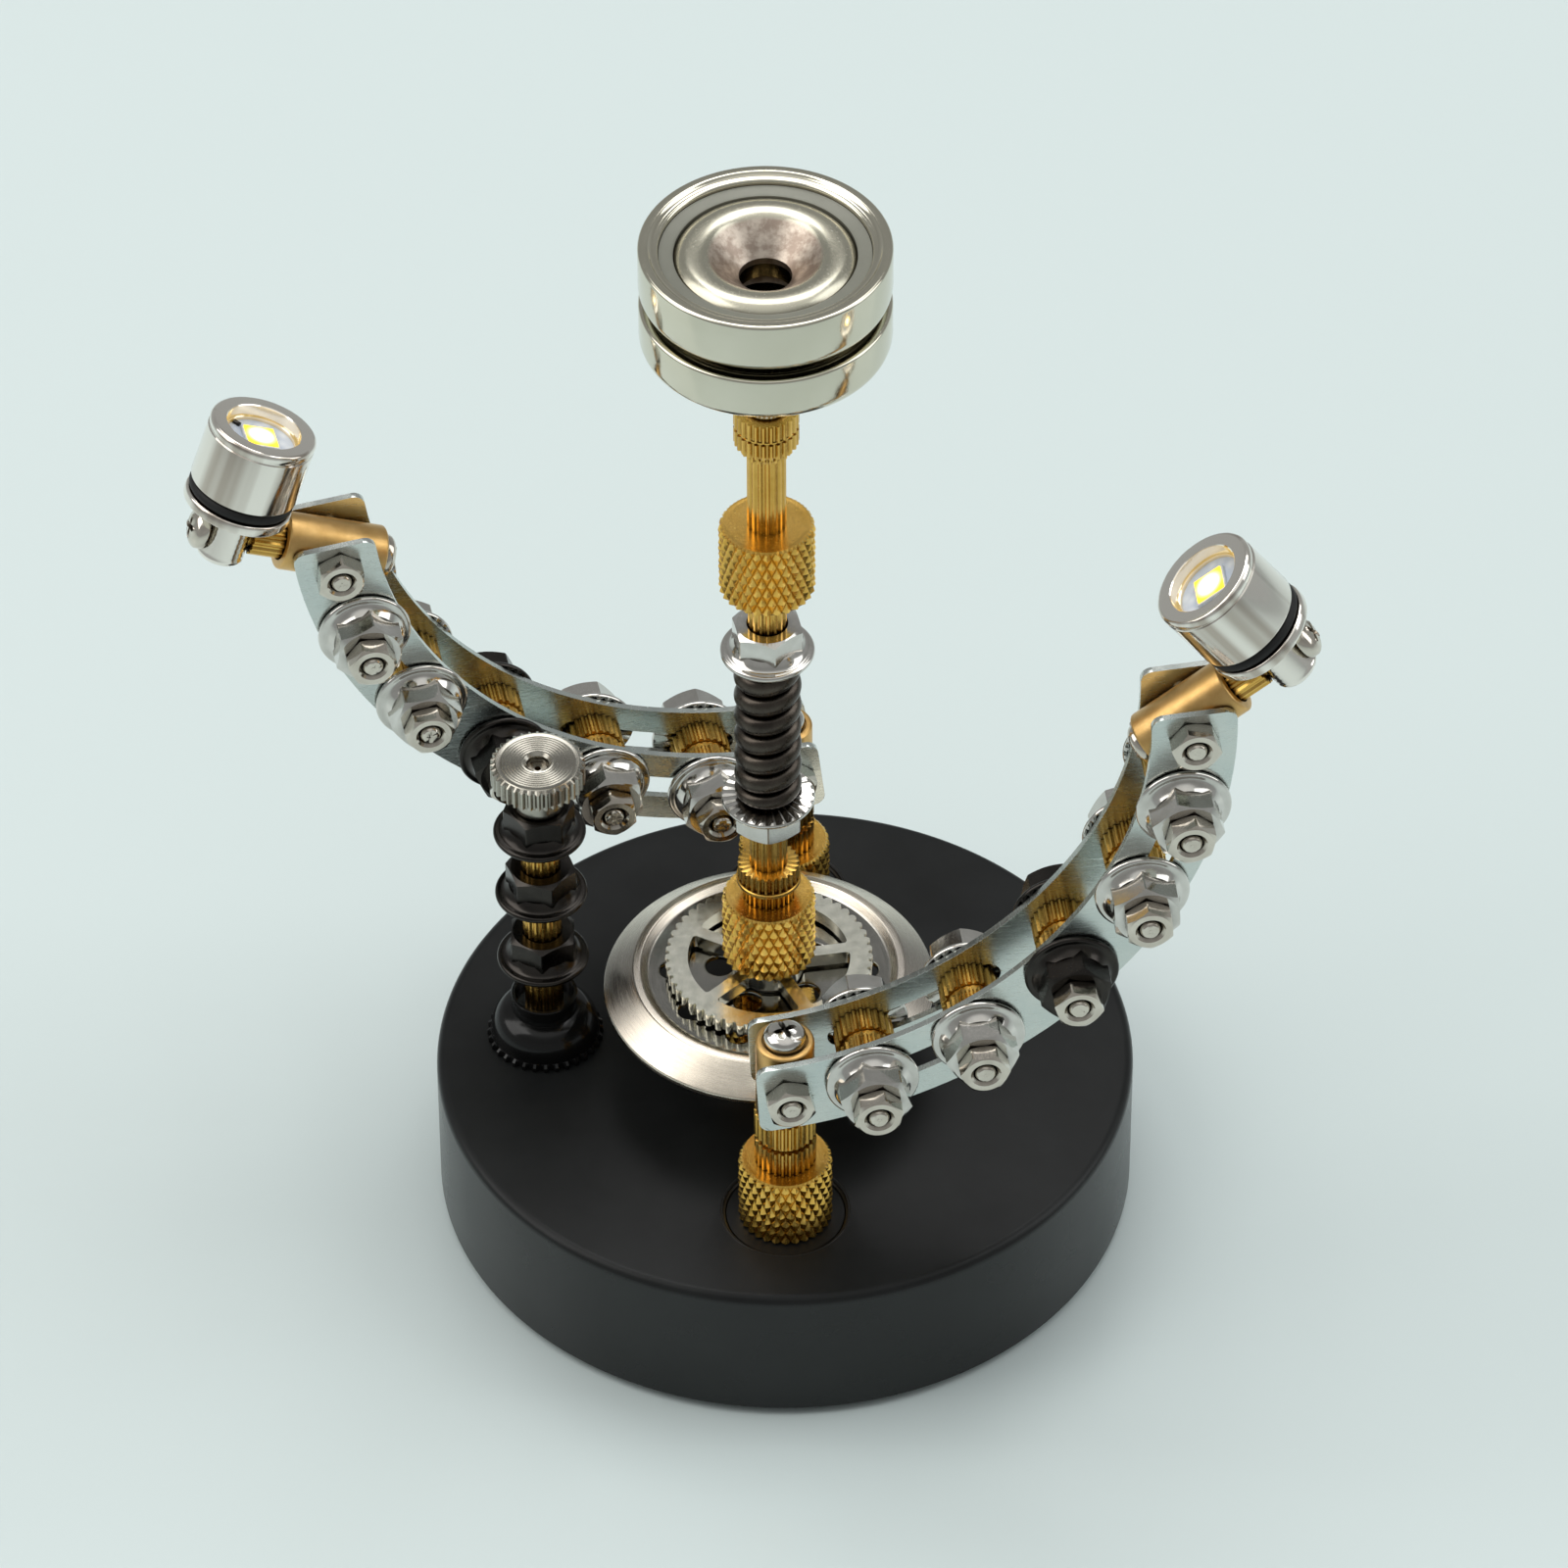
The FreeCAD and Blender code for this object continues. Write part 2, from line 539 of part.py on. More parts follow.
def magnet_nodes():
    column = Vector(COLUMN_X, 0, 0)
    lower_rim = MAGNET_BOTTOM + LOWER_CUP_HEIGHT
    lower_ring_top = lower_rim + LOWER_RING_LIFT
    upper_bottom = lower_ring_top + FACE_GAP
    upper_rim = upper_bottom + UPPER_CUP_HEIGHT
    upper_ring_top = upper_rim + UPPER_RING_LIFT
    potting = ring(MAGNET_STEP_RADIUS, RING_MAGNET_RADIUS, upper_bottom + MAGNET_FLOOR,
                   upper_ring_top - POTTING_DEPTH)
    neck = lower_ring_top - COUNTERSINK_DEPTH
    slope = (COUNTERSINK_RADIUS - MAGNET_HOLE_RADIUS) / COUNTERSINK_DEPTH
    head_radius = MAGNET_HOLE_RADIUS + slope * MAGNET_SCREW_HEAD_HEIGHT - THREAD_GAP
    screw_bottom = MAGNET_BOTTOM - MAGNET_SCREW_LENGTH
    screw = turned([(0, screw_bottom), (MAGNET_SCREW_RADIUS, screw_bottom),
                    (MAGNET_SCREW_RADIUS, neck - MAGNET_SCREW_HEAD_HEIGHT),
                    (MAGNET_HOLE_RADIUS - THREAD_GAP, neck),
                    (head_radius, neck + MAGNET_SCREW_HEAD_HEIGHT),
                    (0, neck + MAGNET_SCREW_HEAD_HEIGHT)])
    return {
        "lower_magnet_cup": moved(magnet_cup(MAGNET_BOTTOM, lower_rim), column),
        "lower_ring_magnet": moved(ring_magnet(MAGNET_BOTTOM, lower_ring_top), column),
        "magnet_screw": moved(screw, column),
        "display_magnet_cup": moved(magnet_cup(upper_bottom, upper_rim), column),
        "display_ring_magnet": moved(ring_magnet(upper_bottom, upper_ring_top), column),
        "magnet_potting": moved(potting, column),
    }


# ---- knob post --------------------------------------------------------------
def dome():
    """Domed washer with an open collar on top."""
    bore = M3_RADIUS + THREAD_GAP
    shoulder = BASE_HEIGHT + DOME_EDGE
    bulge_radius, bulge_height = DOME_BULGE
    curve = Part.Arc(Vector(DOME_RADIUS, 0, shoulder), Vector(bulge_radius, 0, bulge_height),
                     Vector(DOME_COLLAR_RADIUS, 0, DOME_TOP)).toShape()
    outline = Part.makePolygon([
        Vector(DOME_COLLAR_RADIUS, 0, DOME_TOP), Vector(DOME_COLLAR_RADIUS, 0, DOME_COLLAR_TOP),
        Vector(DOME_MOUTH_RADIUS, 0, DOME_COLLAR_TOP), Vector(DOME_MOUTH_RADIUS, 0, DOME_MOUTH_FLOOR),
        Vector(bore, 0, DOME_MOUTH_FLOOR), Vector(bore, 0, BASE_HEIGHT),
        Vector(DOME_RADIUS, 0, BASE_HEIGHT), Vector(DOME_RADIUS, 0, shoulder)])
    return Part.Face(Part.Wire(outline.Edges + [curve])).revolve(ORIGIN, UP, FULL_TURN)


def knob_post_nodes():
    bore = M3_RADIUS + THREAD_GAP
    nuts = [moved(bored_flange_nut(bore), KNOB_POST + Vector(0, 0, height),
                  Rotation(UP, KNOB_NUT_TURN * index))
            for index, height in enumerate(BLACK_NUT_BOTTOMS)]
    nut_tops = [height + FLANGE_NUT_HEIGHT for height in BLACK_NUT_BOTTOMS]
    spacer_bottoms = [DOME_MOUTH_FLOOR] + nut_tops[:-1]
    spacers = [moved(ring(KNOB_SPACER_RADIUS, bore, low, high), KNOB_POST)
               for low, high in zip(spacer_bottoms, BLACK_NUT_BOTTOMS)]
    knob_bore = M3_RADIUS + RUNNING_GAP
    edge = KNURLED_NUT_CHAMFER
    knob = turned([(knob_bore, KNOB_COLLAR_BOTTOM), (KNOB_COLLAR_RADIUS, KNOB_COLLAR_BOTTOM),
                   (KNOB_COLLAR_RADIUS, KNOB_BOTTOM), (KNOB_RADIUS - edge, KNOB_BOTTOM),
                   (KNOB_RADIUS, KNOB_BOTTOM + edge), (KNOB_RADIUS, KNOB_TOP - edge),
                   (KNOB_RADIUS - edge, KNOB_TOP), (knob_bore, KNOB_TOP)])
    return {
        "knob_post_dome": moved(dome(), KNOB_POST),
        "knob_post_nuts": group(nuts),
        "knob_post_spacers": group(spacers),
        "knob": moved(knob, KNOB_POST),
    }


# ---- curved arms ------------------------------------------------------------
# An arm is drawn about its arc's centre: X runs to the middle of the arc, Y along
# the chord towards the lamp, and Z across the two plates.
def arc_point(radius, angle, height=0.0):
    turn = math.radians(angle)
    return Vector(radius * math.cos(turn), radius * math.sin(turn), height)


def band_outline(inner, outer, start, end, height):
    """Wire round a stretch of a flat curved band with straight ends."""
    middle = (start + end) / 2
    outer_arc = Part.Arc(arc_point(outer, start, height), arc_point(outer, middle, height),
                         arc_point(outer, end, height)).toShape()
    inner_arc = Part.Arc(arc_point(inner, end, height), arc_point(inner, middle, height),
                         arc_point(inner, start, height)).toShape()
    end_line = Part.LineSegment(arc_point(outer, end, height), arc_point(inner, end, height))
    start_line = Part.LineSegment(arc_point(inner, start, height), arc_point(outer, start, height))
    return Part.Wire([outer_arc, end_line.toShape(), inner_arc, start_line.toShape()])


def arm_plate(low):
    """Curved flat plate with two slots and three round holes."""
    inner = ARC_RADIUS - PLATE_WIDTH / 2
    outer = ARC_RADIUS + PLATE_WIDTH / 2
    reach = ARC_END + math.degrees(PLATE_OVERHANG / ARC_RADIUS)
    thickness = Vector(0, 0, PLATE_THICKNESS)
    plate = Part.Face(band_outline(inner, outer, -reach, reach, low)).extrude(thickness)
    corners = [edge for edge in plate.Edges if edge.BoundBox.ZLength > PLATE_THICKNESS / 2
               and edge.BoundBox.XLength < RUNNING_GAP]
    plate = plate.makeFillet(PLATE_CORNER, corners)
    deep = Vector(0, 0, PLATE_THICKNESS + 2 * MARGIN)
    past = low + PLATE_THICKNESS + MARGIN
    half = SLOT_WIDTH / 2
    for side in (-1, 1):
        start, end = sorted((side * SLOT_RANGE[0], side * SLOT_RANGE[1]))
        slot = Part.Face(band_outline(ARC_RADIUS - half, ARC_RADIUS + half, start, end, low - MARGIN))
        plate = plate.cut(slot.extrude(deep))
        for angle in (start, end):
            plate = plate.cut(moved(disc(half, low - MARGIN, past), arc_point(ARC_RADIUS, angle)))
    for angle in (-ARC_END, 0, ARC_END):
        plate = plate.cut(moved(disc(BOLT_HOLE_RADIUS, low - MARGIN, past), arc_point(ARC_RADIUS, angle)))
    return plate


def on_side(shape, angle, offset, side, turn=0.0):
    """Put a part that stands on Z = 0 on one outer side of the arm at a station."""
    facing = Rotation(UP, turn)
    if side < 0:
        facing = UPSIDE_DOWN.multiply(facing)
    return moved(shape, arc_point(ARC_RADIUS, angle, side * offset), facing)


def arm_nodes(nut_side):
    """Parts of one arm in its arc frame."""
    face = PLATE_GAP / 2 + PLATE_THICKNESS
    outside = face + FLANGE_NUT_HEIGHT
    half_gap = PLATE_GAP / 2
    groove = SPACER_GROOVE_WIDTH / 2
    spacer = stepped_ring((SPACER_RADIUS, SPACER_GROOVE_RADIUS, SPACER_RADIUS), BOLT_HOLE_RADIUS,
                          (-half_gap, -groove, groove, half_gap))
    spacers = [moved(spacer, arc_point(ARC_RADIUS, angle)) for angle in STATION_ANGLES]
    nickel_nuts = []
    black_nuts = []
    small_nuts = []
    bolts = []
    for index, angle in enumerate(STATION_ANGLES):
        turn = angle + HEXAGON_STEP / 2
        pair = [on_side(bored_flange_nut(FLANGE_NUT_BORE), angle, face, side, turn) for side in (1, -1)]
        if index == BLACK_STATION:
            black_nuts += pair
        else:
            nickel_nuts += pair
    end_stations = [(angle, face) for angle in (-ARC_END, ARC_END)]
    for angle, seat in [(angle, outside) for angle in STATION_ANGLES] + end_stations:
        small_nuts.append(on_side(small_nut(), angle, seat, nut_side, angle))
        length = 2 * seat + M3_NUT_HEIGHT + BOLT_TIP
        bolts.append(on_side(pan_screw(length), angle, seat, -nut_side))
    return {
        "arm_plates": group([arm_plate(half_gap), arm_plate(-face)]),
        "arm_spacers": group(spacers),
        "arm_flange_nuts": group(nickel_nuts),
        "arm_black_nuts": group(black_nuts),
        "arm_hex_nuts": group(small_nuts),
        "arm_bolts": group(bolts),
    }


def arc_placement(rise):
    """From the arc frame to the arm's upright frame, whose origin is the pivot."""
    turn = math.radians(rise)
    outwards = Vector(math.sin(turn), 0, -math.cos(turn))
    along = Vector(math.cos(turn), 0, math.sin(turn))
    half = math.radians(ARC_END)
    centre = along * (ARC_RADIUS * math.sin(half)) - outwards * (ARC_RADIUS * math.cos(half))
    return Placement(centre, Rotation(outwards, along, Vector(0, -1, 0), "ZXY"))


def turret_nodes():
    """Barrel that turns on the post stud, with its screw, about the pivot."""
    barrel = disc(BARREL_RADIUS, -BASE_BARREL_BELOW, BASE_BARREL_ABOVE)
    cross = Part.makeCylinder(M3_RADIUS + RUNNING_GAP, 4 * BARREL_RADIUS,
                              Vector(0, -2 * BARREL_RADIUS, 0), Vector(0, 1, 0))
    stud_top = POST_STUD_TOP - PIVOT_HEIGHT + RUNNING_GAP
    stud_bore = disc(M3_RADIUS + RUNNING_GAP, -BASE_BARREL_BELOW - MARGIN, stud_top)
    screw_length = BASE_BARREL_ABOVE - M3_RADIUS - BARREL_WEB
    screw_bore = disc(M3_RADIUS + THREAD_GAP, BASE_BARREL_ABOVE - screw_length - THREAD_GAP,
                      BASE_BARREL_ABOVE + MARGIN)
    screw = moved(pan_screw(screw_length), Vector(0, 0, BASE_BARREL_ABOVE))
    return {
        "base_barrel": barrel.cut(cross).cut(stud_bore).cut(screw_bore),
        "barrel_screw": screw,
    }


# The bracket lies along X from the elbow bolt to the lamp, with Z up its own back.
def bracket_nodes():
    barrel = moved(disc(BARREL_RADIUS, -ELBOW_BACK, ELBOW_FRONT), ORIGIN, ALONG_X)
    cross = Part.makeCylinder(M3_RADIUS + RUNNING_GAP, 4 * BARREL_RADIUS,
                              Vector(0, -2 * BARREL_RADIUS, 0), Vector(0, 1, 0))
    pin_bore = moved(disc(PIN_RADIUS + THREAD_GAP, PIN_START - THREAD_GAP, ELBOW_FRONT + MARGIN),
                     ORIGIN, ALONG_X)
    screw_length = ELBOW_BACK - M3_RADIUS - BARREL_WEB
    bore_end = screw_length + THREAD_GAP - ELBOW_BACK
    screw_bore = moved(disc(M3_RADIUS + THREAD_GAP, -ELBOW_BACK - MARGIN, bore_end), ORIGIN, ALONG_X)
    inner_screw = moved(pan_screw(screw_length), Vector(-ELBOW_BACK, 0, 0), ALONG_MINUS_X)
    near = PIN_REACH - STUB_RADIUS - FACE_GAP
    far = PIN_REACH + STUB_RADIUS + FACE_GAP
    pin = disc(PIN_RADIUS, PIN_START, near).fuse(disc(PIN_SPIGOT_RADIUS, near, far))
    pin = pin.cut(disc(STUB_SCREW_RADIUS + THREAD_GAP, near, far + MARGIN))
    stub_screw = pan_head().fuse(disc(STUB_SCREW_RADIUS, -STUB_SCREW_LENGTH, 0)).removeSplitter()
    return {
        "elbow_barrel": barrel.cut(cross).cut(pin_bore).cut(screw_bore),
        "lamp_pin": moved(pin, ORIGIN, ALONG_X),
        "bracket_screws": group([inner_screw, moved(stub_screw, Vector(far, 0, 0), ALONG_X)]),
    }


# A lamp stands along Z with the pin's axis through its origin along X.
def lamp_nodes():
    cap = turned([(0, -STUB_BELOW), (STUB_RADIUS - LAMP_CHAMFER, -STUB_BELOW),
                  (STUB_RADIUS, LAMP_CHAMFER - STUB_BELOW), (STUB_RADIUS, CAP_FLANGE_BOTTOM),
                  (CAP_RADIUS - LAMP_CHAMFER, CAP_FLANGE_BOTTOM),
                  (CAP_RADIUS, CAP_FLANGE_BOTTOM + LAMP_CHAMFER), (CAP_RADIUS, CAP_FLANGE_TOP),
                  (CAP_SPIGOT_RADIUS, CAP_FLANGE_TOP), (CAP_SPIGOT_RADIUS, CAP_SPIGOT_TOP),
                  (0, CAP_SPIGOT_TOP)])
    cross = Part.makeCylinder(PIN_SPIGOT_RADIUS + RUNNING_GAP, 4 * STUB_RADIUS,
                              Vector(-2 * STUB_RADIUS, 0, 0), Vector(1, 0, 0))
    o_ring = Part.makeTorus(O_RING_RADIUS, O_RING_WIRE, Vector(0, 0, CAP_FLANGE_TOP + O_RING_WIRE))
    head = turned([(CAP_SPIGOT_RADIUS + RUNNING_GAP, HEAD_BOTTOM),
                   (HEAD_RADIUS - HEAD_CHAMFER, HEAD_BOTTOM),
                   (HEAD_RADIUS, HEAD_BOTTOM + HEAD_CHAMFER), (HEAD_RADIUS, HEAD_TOP - HEAD_CHAMFER),
                   (HEAD_RADIUS - HEAD_CHAMFER, HEAD_TOP), (HEAD_MOUTH_RADIUS, HEAD_TOP),
                   (HEAD_MOUTH_RADIUS, HEAD_TOP - HEAD_MOUTH_DEPTH),
                   (HEAD_THROAT_RADIUS, HEAD_TOP - HEAD_MOUTH_DEPTH),
                   (HEAD_THROAT_RADIUS, HEAD_SHOULDER),
                   (CAP_SPIGOT_RADIUS + RUNNING_GAP, HEAD_SHOULDER)])
    board = disc(CAP_SPIGOT_RADIUS, HEAD_SHOULDER - BOARD_THICKNESS, HEAD_SHOULDER)
    chip = Part.makeBox(CHIP_SIZE, CHIP_SIZE, CHIP_THICKNESS,
                        Vector(-CHIP_SIZE / 2, -CHIP_SIZE / 2, HEAD_SHOULDER))
    cells = [disc(CELL_RADIUS, low, low + CELL_HEIGHT)
             for low in (CAP_SPIGOT_TOP + FACE_GAP + CELL_HEIGHT * cell for cell in range(CELL_COUNT))]
    return {
        "lamp_cap": cap.cut(cross),
        "lamp_o_ring": o_ring,
        "lamp_head": head,
        "led_board": board,
        "led_chip": chip,
        "lamp_cells": group(cells),
    }


def placed(nodes, side, placement):
    """Name the parts after their side and move them with one placement."""
    result = {}
    for name, shape in nodes.items():
        copy = shape.copy()
        copy.Placement = placement.multiply(copy.Placement)
        result[side + "_" + name] = copy
    return result


def side_nodes(side):
    post, heading, rise, lift, roll, nut_side = ARMS[side]
    pivot = Placement(Vector(post.x, post.y, PIVOT_HEIGHT), Rotation(UP, heading))
    arc = arc_placement(rise)
    elbow = arc.multVec(arc_point(ARC_RADIUS, ARC_END))
    bracket = Placement(elbow, Rotation(Vector(0, -1, 0), lift))
    lamp = Placement(Vector(PIN_REACH, 0, 0), Rotation(Vector(1, 0, 0), roll))
    to_bracket = pivot.multiply(bracket)
    nodes = placed(turret_nodes(), side, pivot)
    nodes.update(placed(arm_nodes(nut_side), side, pivot.multiply(arc)))
    nodes.update(placed(bracket_nodes(), side, to_bracket))
    nodes.update(placed(lamp_nodes(), side, to_bracket.multiply(lamp)))
    return nodes


def all_nodes():
    nodes = base_nodes()
    for part in (column_nodes(), magnet_nodes(), knob_post_nodes()):
        nodes.update(part)
    for side in ARMS:
        nodes.update(side_nodes(side))
    return nodes


os.makedirs("parts", exist_ok=True)
for node_name, node_shape in all_nodes().items():
    node_shape.exportStep("parts/" + node_name + ".step")
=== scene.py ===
import json
import random
from math import asin, cos, degrees, pi, radians, sin, sqrt, tan

import bmesh
import bpy
from mathutils import Matrix, Vector


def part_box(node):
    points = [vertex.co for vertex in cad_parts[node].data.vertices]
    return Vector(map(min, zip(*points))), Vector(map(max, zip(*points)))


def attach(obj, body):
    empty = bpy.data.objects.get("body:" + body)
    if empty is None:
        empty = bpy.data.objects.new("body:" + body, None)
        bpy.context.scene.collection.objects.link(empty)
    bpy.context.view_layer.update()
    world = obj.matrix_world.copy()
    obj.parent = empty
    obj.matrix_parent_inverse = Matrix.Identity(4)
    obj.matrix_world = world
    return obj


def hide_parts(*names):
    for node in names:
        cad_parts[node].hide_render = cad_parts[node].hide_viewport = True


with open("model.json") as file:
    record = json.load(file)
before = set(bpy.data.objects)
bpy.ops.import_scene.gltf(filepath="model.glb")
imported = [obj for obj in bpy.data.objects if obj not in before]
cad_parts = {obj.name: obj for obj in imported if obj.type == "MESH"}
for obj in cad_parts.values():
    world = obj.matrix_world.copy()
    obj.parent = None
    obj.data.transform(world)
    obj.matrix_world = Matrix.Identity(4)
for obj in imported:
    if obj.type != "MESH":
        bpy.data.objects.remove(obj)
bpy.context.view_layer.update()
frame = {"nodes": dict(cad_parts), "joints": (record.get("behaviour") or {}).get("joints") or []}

# Display stand with two lamp arms.  Metres, +Z up, the stand looks towards -Y.
MM = 0.001
JOINTS = {joint["name"]: joint for joint in frame["joints"]}
SIDES = ("right", "left")
UP = Vector((0, 0, 1))
SMOOTH = 96                 # flat faces round a plain turned part
FINE = 192                  # the same round the magnets and the foot pad

# sizes of the standard hardware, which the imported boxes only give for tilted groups
FLANGE_NUT_FLATS = 8.0 * MM
FLANGE_NUT_RADIUS = 5.9 * MM
FLANGE_NUT_HEIGHT = 5.0 * MM
FLANGE_EDGE = 0.95 * MM
FLANGE_TOP = 2.1 * MM
FLANGE_BORE = 2.2 * MM
SMALL_NUT_FLATS = 5.5 * MM
SMALL_NUT_HEIGHT = 2.4 * MM
KNURLED_NUT_RADIUS = 6.0 * MM
BOLT_RADIUS = 1.5 * MM
CLEAR_BORE = 1.6 * MM       # hole that a bolt passes through
SNUG_BORE = 1.55 * MM       # hole of a splined piece on a stud
PAN_HEAD_RADIUS = 2.7 * MM
PAN_HEAD_HEIGHT = 1.9 * MM
ROD_RADIUS = 2.4 * MM

# arms: two strips bent to one arc, with a spacer and two flange nuts at each station
ARC_RADIUS = 56.0 * MM
STATION_ANGLES = (-30.5, -15.5, 0.0, 15.5, 30.5)
BLACK_STATION = 2
PLATE_GAP = 7.8 * MM
PLATE_THICKNESS = 0.9 * MM
SPACER_RADIUS = 3.8 * MM
BARREL_RADIUS = 3.7 * MM
SEAT_RADIUS = 8.0 * MM      # shallow seat in the base round each arm's post

# lamps, heights from the pin's axis
LAMP_RADIUS = 6.85 * MM
LAMP_TOP = 15.9 * MM
LAMP_BOARD = 13.9 * MM
LAMP_BORE = 4.75 * MM

# dish and pot magnets
DISH_FLOOR_RADIUS = 15.6 * MM
MAGNET_HOLE = 3.2 * MM
MAGNET_FLOOR = 2.0 * MM
RING_RADIUS = 11.0 * MM
SINK_RADIUS = 6.9 * MM


def middle(node):
    low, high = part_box(node)
    return (low + high) / 2


def half_width(low, high):
    """Radius of an upright round part, from its box."""
    return (high.x - low.x) / 2


def joint_place(name):
    return Vector(JOINTS[name]["pos_m"])


def joint_axis(name):
    return Vector(JOINTS[name]["axis"]).normalized()


# ---- materials ----
class Look:
    """Builds one node material step by step."""

    def __init__(self, name):
        self.material = bpy.data.materials.new(name)
        self.material.use_nodes = True
        self.tree = self.material.node_tree
        self.shader = self.tree.nodes["Principled BSDF"]

    def node(self, kind, settings=None, **sockets):
        """New node of a shader kind; a socket is named, or i with its number."""
        made = self.tree.nodes.new("ShaderNode" + kind)
        for key, value in (settings or {}).items():
            setattr(made, key, value)
        for key, value in sockets.items():
            self.put(made, key, value)
        return made

    def put(self, made, key, value):
        socket = made.inputs[int(key[1:])] if key[0] == "i" and key[1:].isdigit() else made.inputs[key]
        if isinstance(value, bpy.types.NodeSocket):
            self.tree.links.new(value, socket)
        else:
            socket.default_value = (*value, 1.0) if socket.type == "RGBA" else value

    def set(self, key, value):
        self.put(self.shader, key, value)

    def place(self):
        return self.node("TexCoord").outputs["Object"]

    def noise(self, size, detail=4.0, roughness=0.55, where=None, stretch=None):
        """Noise whose patches are about size metres across."""
        where = where or self.place()
        if stretch:
            where = self.node("Mapping", Vector=where, Scale=stretch).outputs[0]
        return self.node("TexNoise", Vector=where, Scale=1 / size, Detail=detail,
                         Roughness=roughness).outputs["Fac"]

    def ranged(self, value, low, high, start=0.3, end=0.7):
        return self.node("MapRange", Value=value, i1=start, i2=end, i3=low, i4=high).outputs[0]

    def maths(self, operation, first, second=0.5):
        return self.node("Math", {"operation": operation}, i0=first, i1=second).outputs[0]

    def mixed(self, factor, first, second):
        return self.node("Mix", i0=factor, i2=first, i3=second).outputs[0]

    def blend(self, factor, first, second):
        mix = self.node("Mix", {"data_type": "RGBA"}, i0=factor, i6=first, i7=second)
        return mix.outputs[2]

    def clouds(self, size, first, second, detail=4.0):
        """Two colours in soft patches."""
        return self.blend(self.ranged(self.noise(size, detail), 0, 1), first, second)

    def shaded_hollows(self, tint, hollow_shade, reach=0.9 * MM):
        """Tint darkened towards a shade colour in grooves and corners where they are occluded: painted
        shade.
        """
        open_air = self.node("AmbientOcclusion", {"samples": 4}, Distance=reach).outputs["AO"]
        return self.blend(self.ranged(open_air, 0, 1, 0.25, 0.85), hollow_shade, tint)

    def upward(self):
        """Z of the surface's direction: 1 on a flat top, 0 on a wall."""
        normal = self.node("NewGeometry").outputs["Normal"]
        return self.node("SeparateXYZ", Vector=normal).outputs[2]

    def across(self, axis_x):
        """X and Y from an upright axis through (axis_x, 0)."""
        centred = self.node("Mapping", Vector=self.place(), Location=(-axis_x, 0, 0))
        split = self.node("SeparateXYZ", Vector=centred.outputs[0])
        return split.outputs[0], split.outputs[1]

    def radius(self, axis_x=0.0):
        x, y = self.across(axis_x)
        flat = self.node("CombineXYZ", X=x, Y=y).outputs[0]
        return self.node("VectorMath", {"operation": "LENGTH"}, i0=flat).outputs["Value"]

    def turn(self, axis_x=0.0):
        x, y = self.across(axis_x)
        return self.maths("ARCTAN2", y, x)

    def circular_lines(self, groove, axis_x=0.0):
        """Fine lines round an upright axis."""
        slow = self.maths("MULTIPLY", self.turn(axis_x), 0.4 * MM)
        lines = self.node("CombineXYZ", X=self.radius(axis_x), Y=slow)
        return self.noise(groove, 5, 0.7, lines.outputs[0])

    def bump(self, height, depth):
        return self.node("Bump", Height=height, Distance=depth, Strength=1.0).outputs[0]

    def brush_round(self, anisotropy):
        tangent = self.node("Tangent", {"direction_type": "RADIAL", "axis": "Z"})
        self.set("Anisotropic", anisotropy)
        self.set("Tangent", tangent.outputs[0])

    def metal(self, tint, marks, rough, relief):
        """Bare metal; rough is a (low, high) range over the marks, or a socket."""
        self.set("Base Color", tint)
        self.set("Metallic", 1.0)
        self.set("Roughness", self.ranged(marks, *rough) if isinstance(rough, tuple) else rough)
        self.set("Normal", self.bump(marks, relief))
        return self.material


def metal(name, colour, dull, rough, patch=3 * MM, relief=0.004 * MM, hollow_shade=None):
    """Plain metal with cloudy colour, uneven polish and fine handling marks; a shade colour, where given, is
    painted shade in its grooves and corners.
    """
    look = Look(name)
    tint = look.clouds(patch, colour, dull)
    if hollow_shade:
        tint = look.shaded_hollows(tint, hollow_shade)
    return look.metal(tint, look.noise(0.25 * MM, 6), rough, relief)


def turned_metal(name, colour, dull, rough, hollow_shade):
    """Metal with circular brushing round the piece's own axis, and painted shade in its grooves and corners.
    """
    look = Look(name)
    look.brush_round(0.6)
    tint = look.shaded_hollows(look.clouds(6 * MM, colour, dull, 3), hollow_shade)
    return look.metal(tint, look.circular_lines(0.12 * MM), rough, 0.003 * MM)


def coated(name, colour, pale, rough, relief=0.006 * MM, metallic=0.0, sheen=0.5):
    """Paint, rubber or resin with a fine uneven skin."""
    look = Look(name)
    look.set("Base Color", look.clouds(9 * MM, colour, pale, 5))
    fine = look.noise(0.35 * MM, 4)
    both = look.maths("ADD", fine, look.noise(14 * MM, 3))
    look.set("Roughness", look.ranged(both, rough[0], rough[1], 0.7, 1.3))
    look.set("Metallic", metallic)
    look.set("Specular IOR Level", sheen)
    look.set("Normal", look.bump(fine, relief))
    return look.material


def shell_paint():
    """Black paint of the base, satin on top and smoother down the side."""
    look = Look("shell_paint")
    look.set("Base Color", look.clouds(9 * MM, (0.007, 0.0075, 0.0075), (0.011, 0.012, 0.012), 5))
    flat = look.ranged(look.upward(), 0, 1, 0.3, 0.9)
    haze = look.ranged(look.noise(14 * MM, 3), 0, 1)
    side_rough = look.ranged(haze, 0.24, 0.3, 0, 1)
    top_rough = look.ranged(haze, 0.34, 0.42, 0, 1)
    look.set("Roughness", look.mixed(flat, side_rough, top_rough))
    look.set("Specular IOR Level", look.ranged(flat, 0.36, 0.19, 0, 1))
    look.set("Normal", look.bump(look.noise(0.35 * MM, 4), 0.005 * MM))
    return look.material


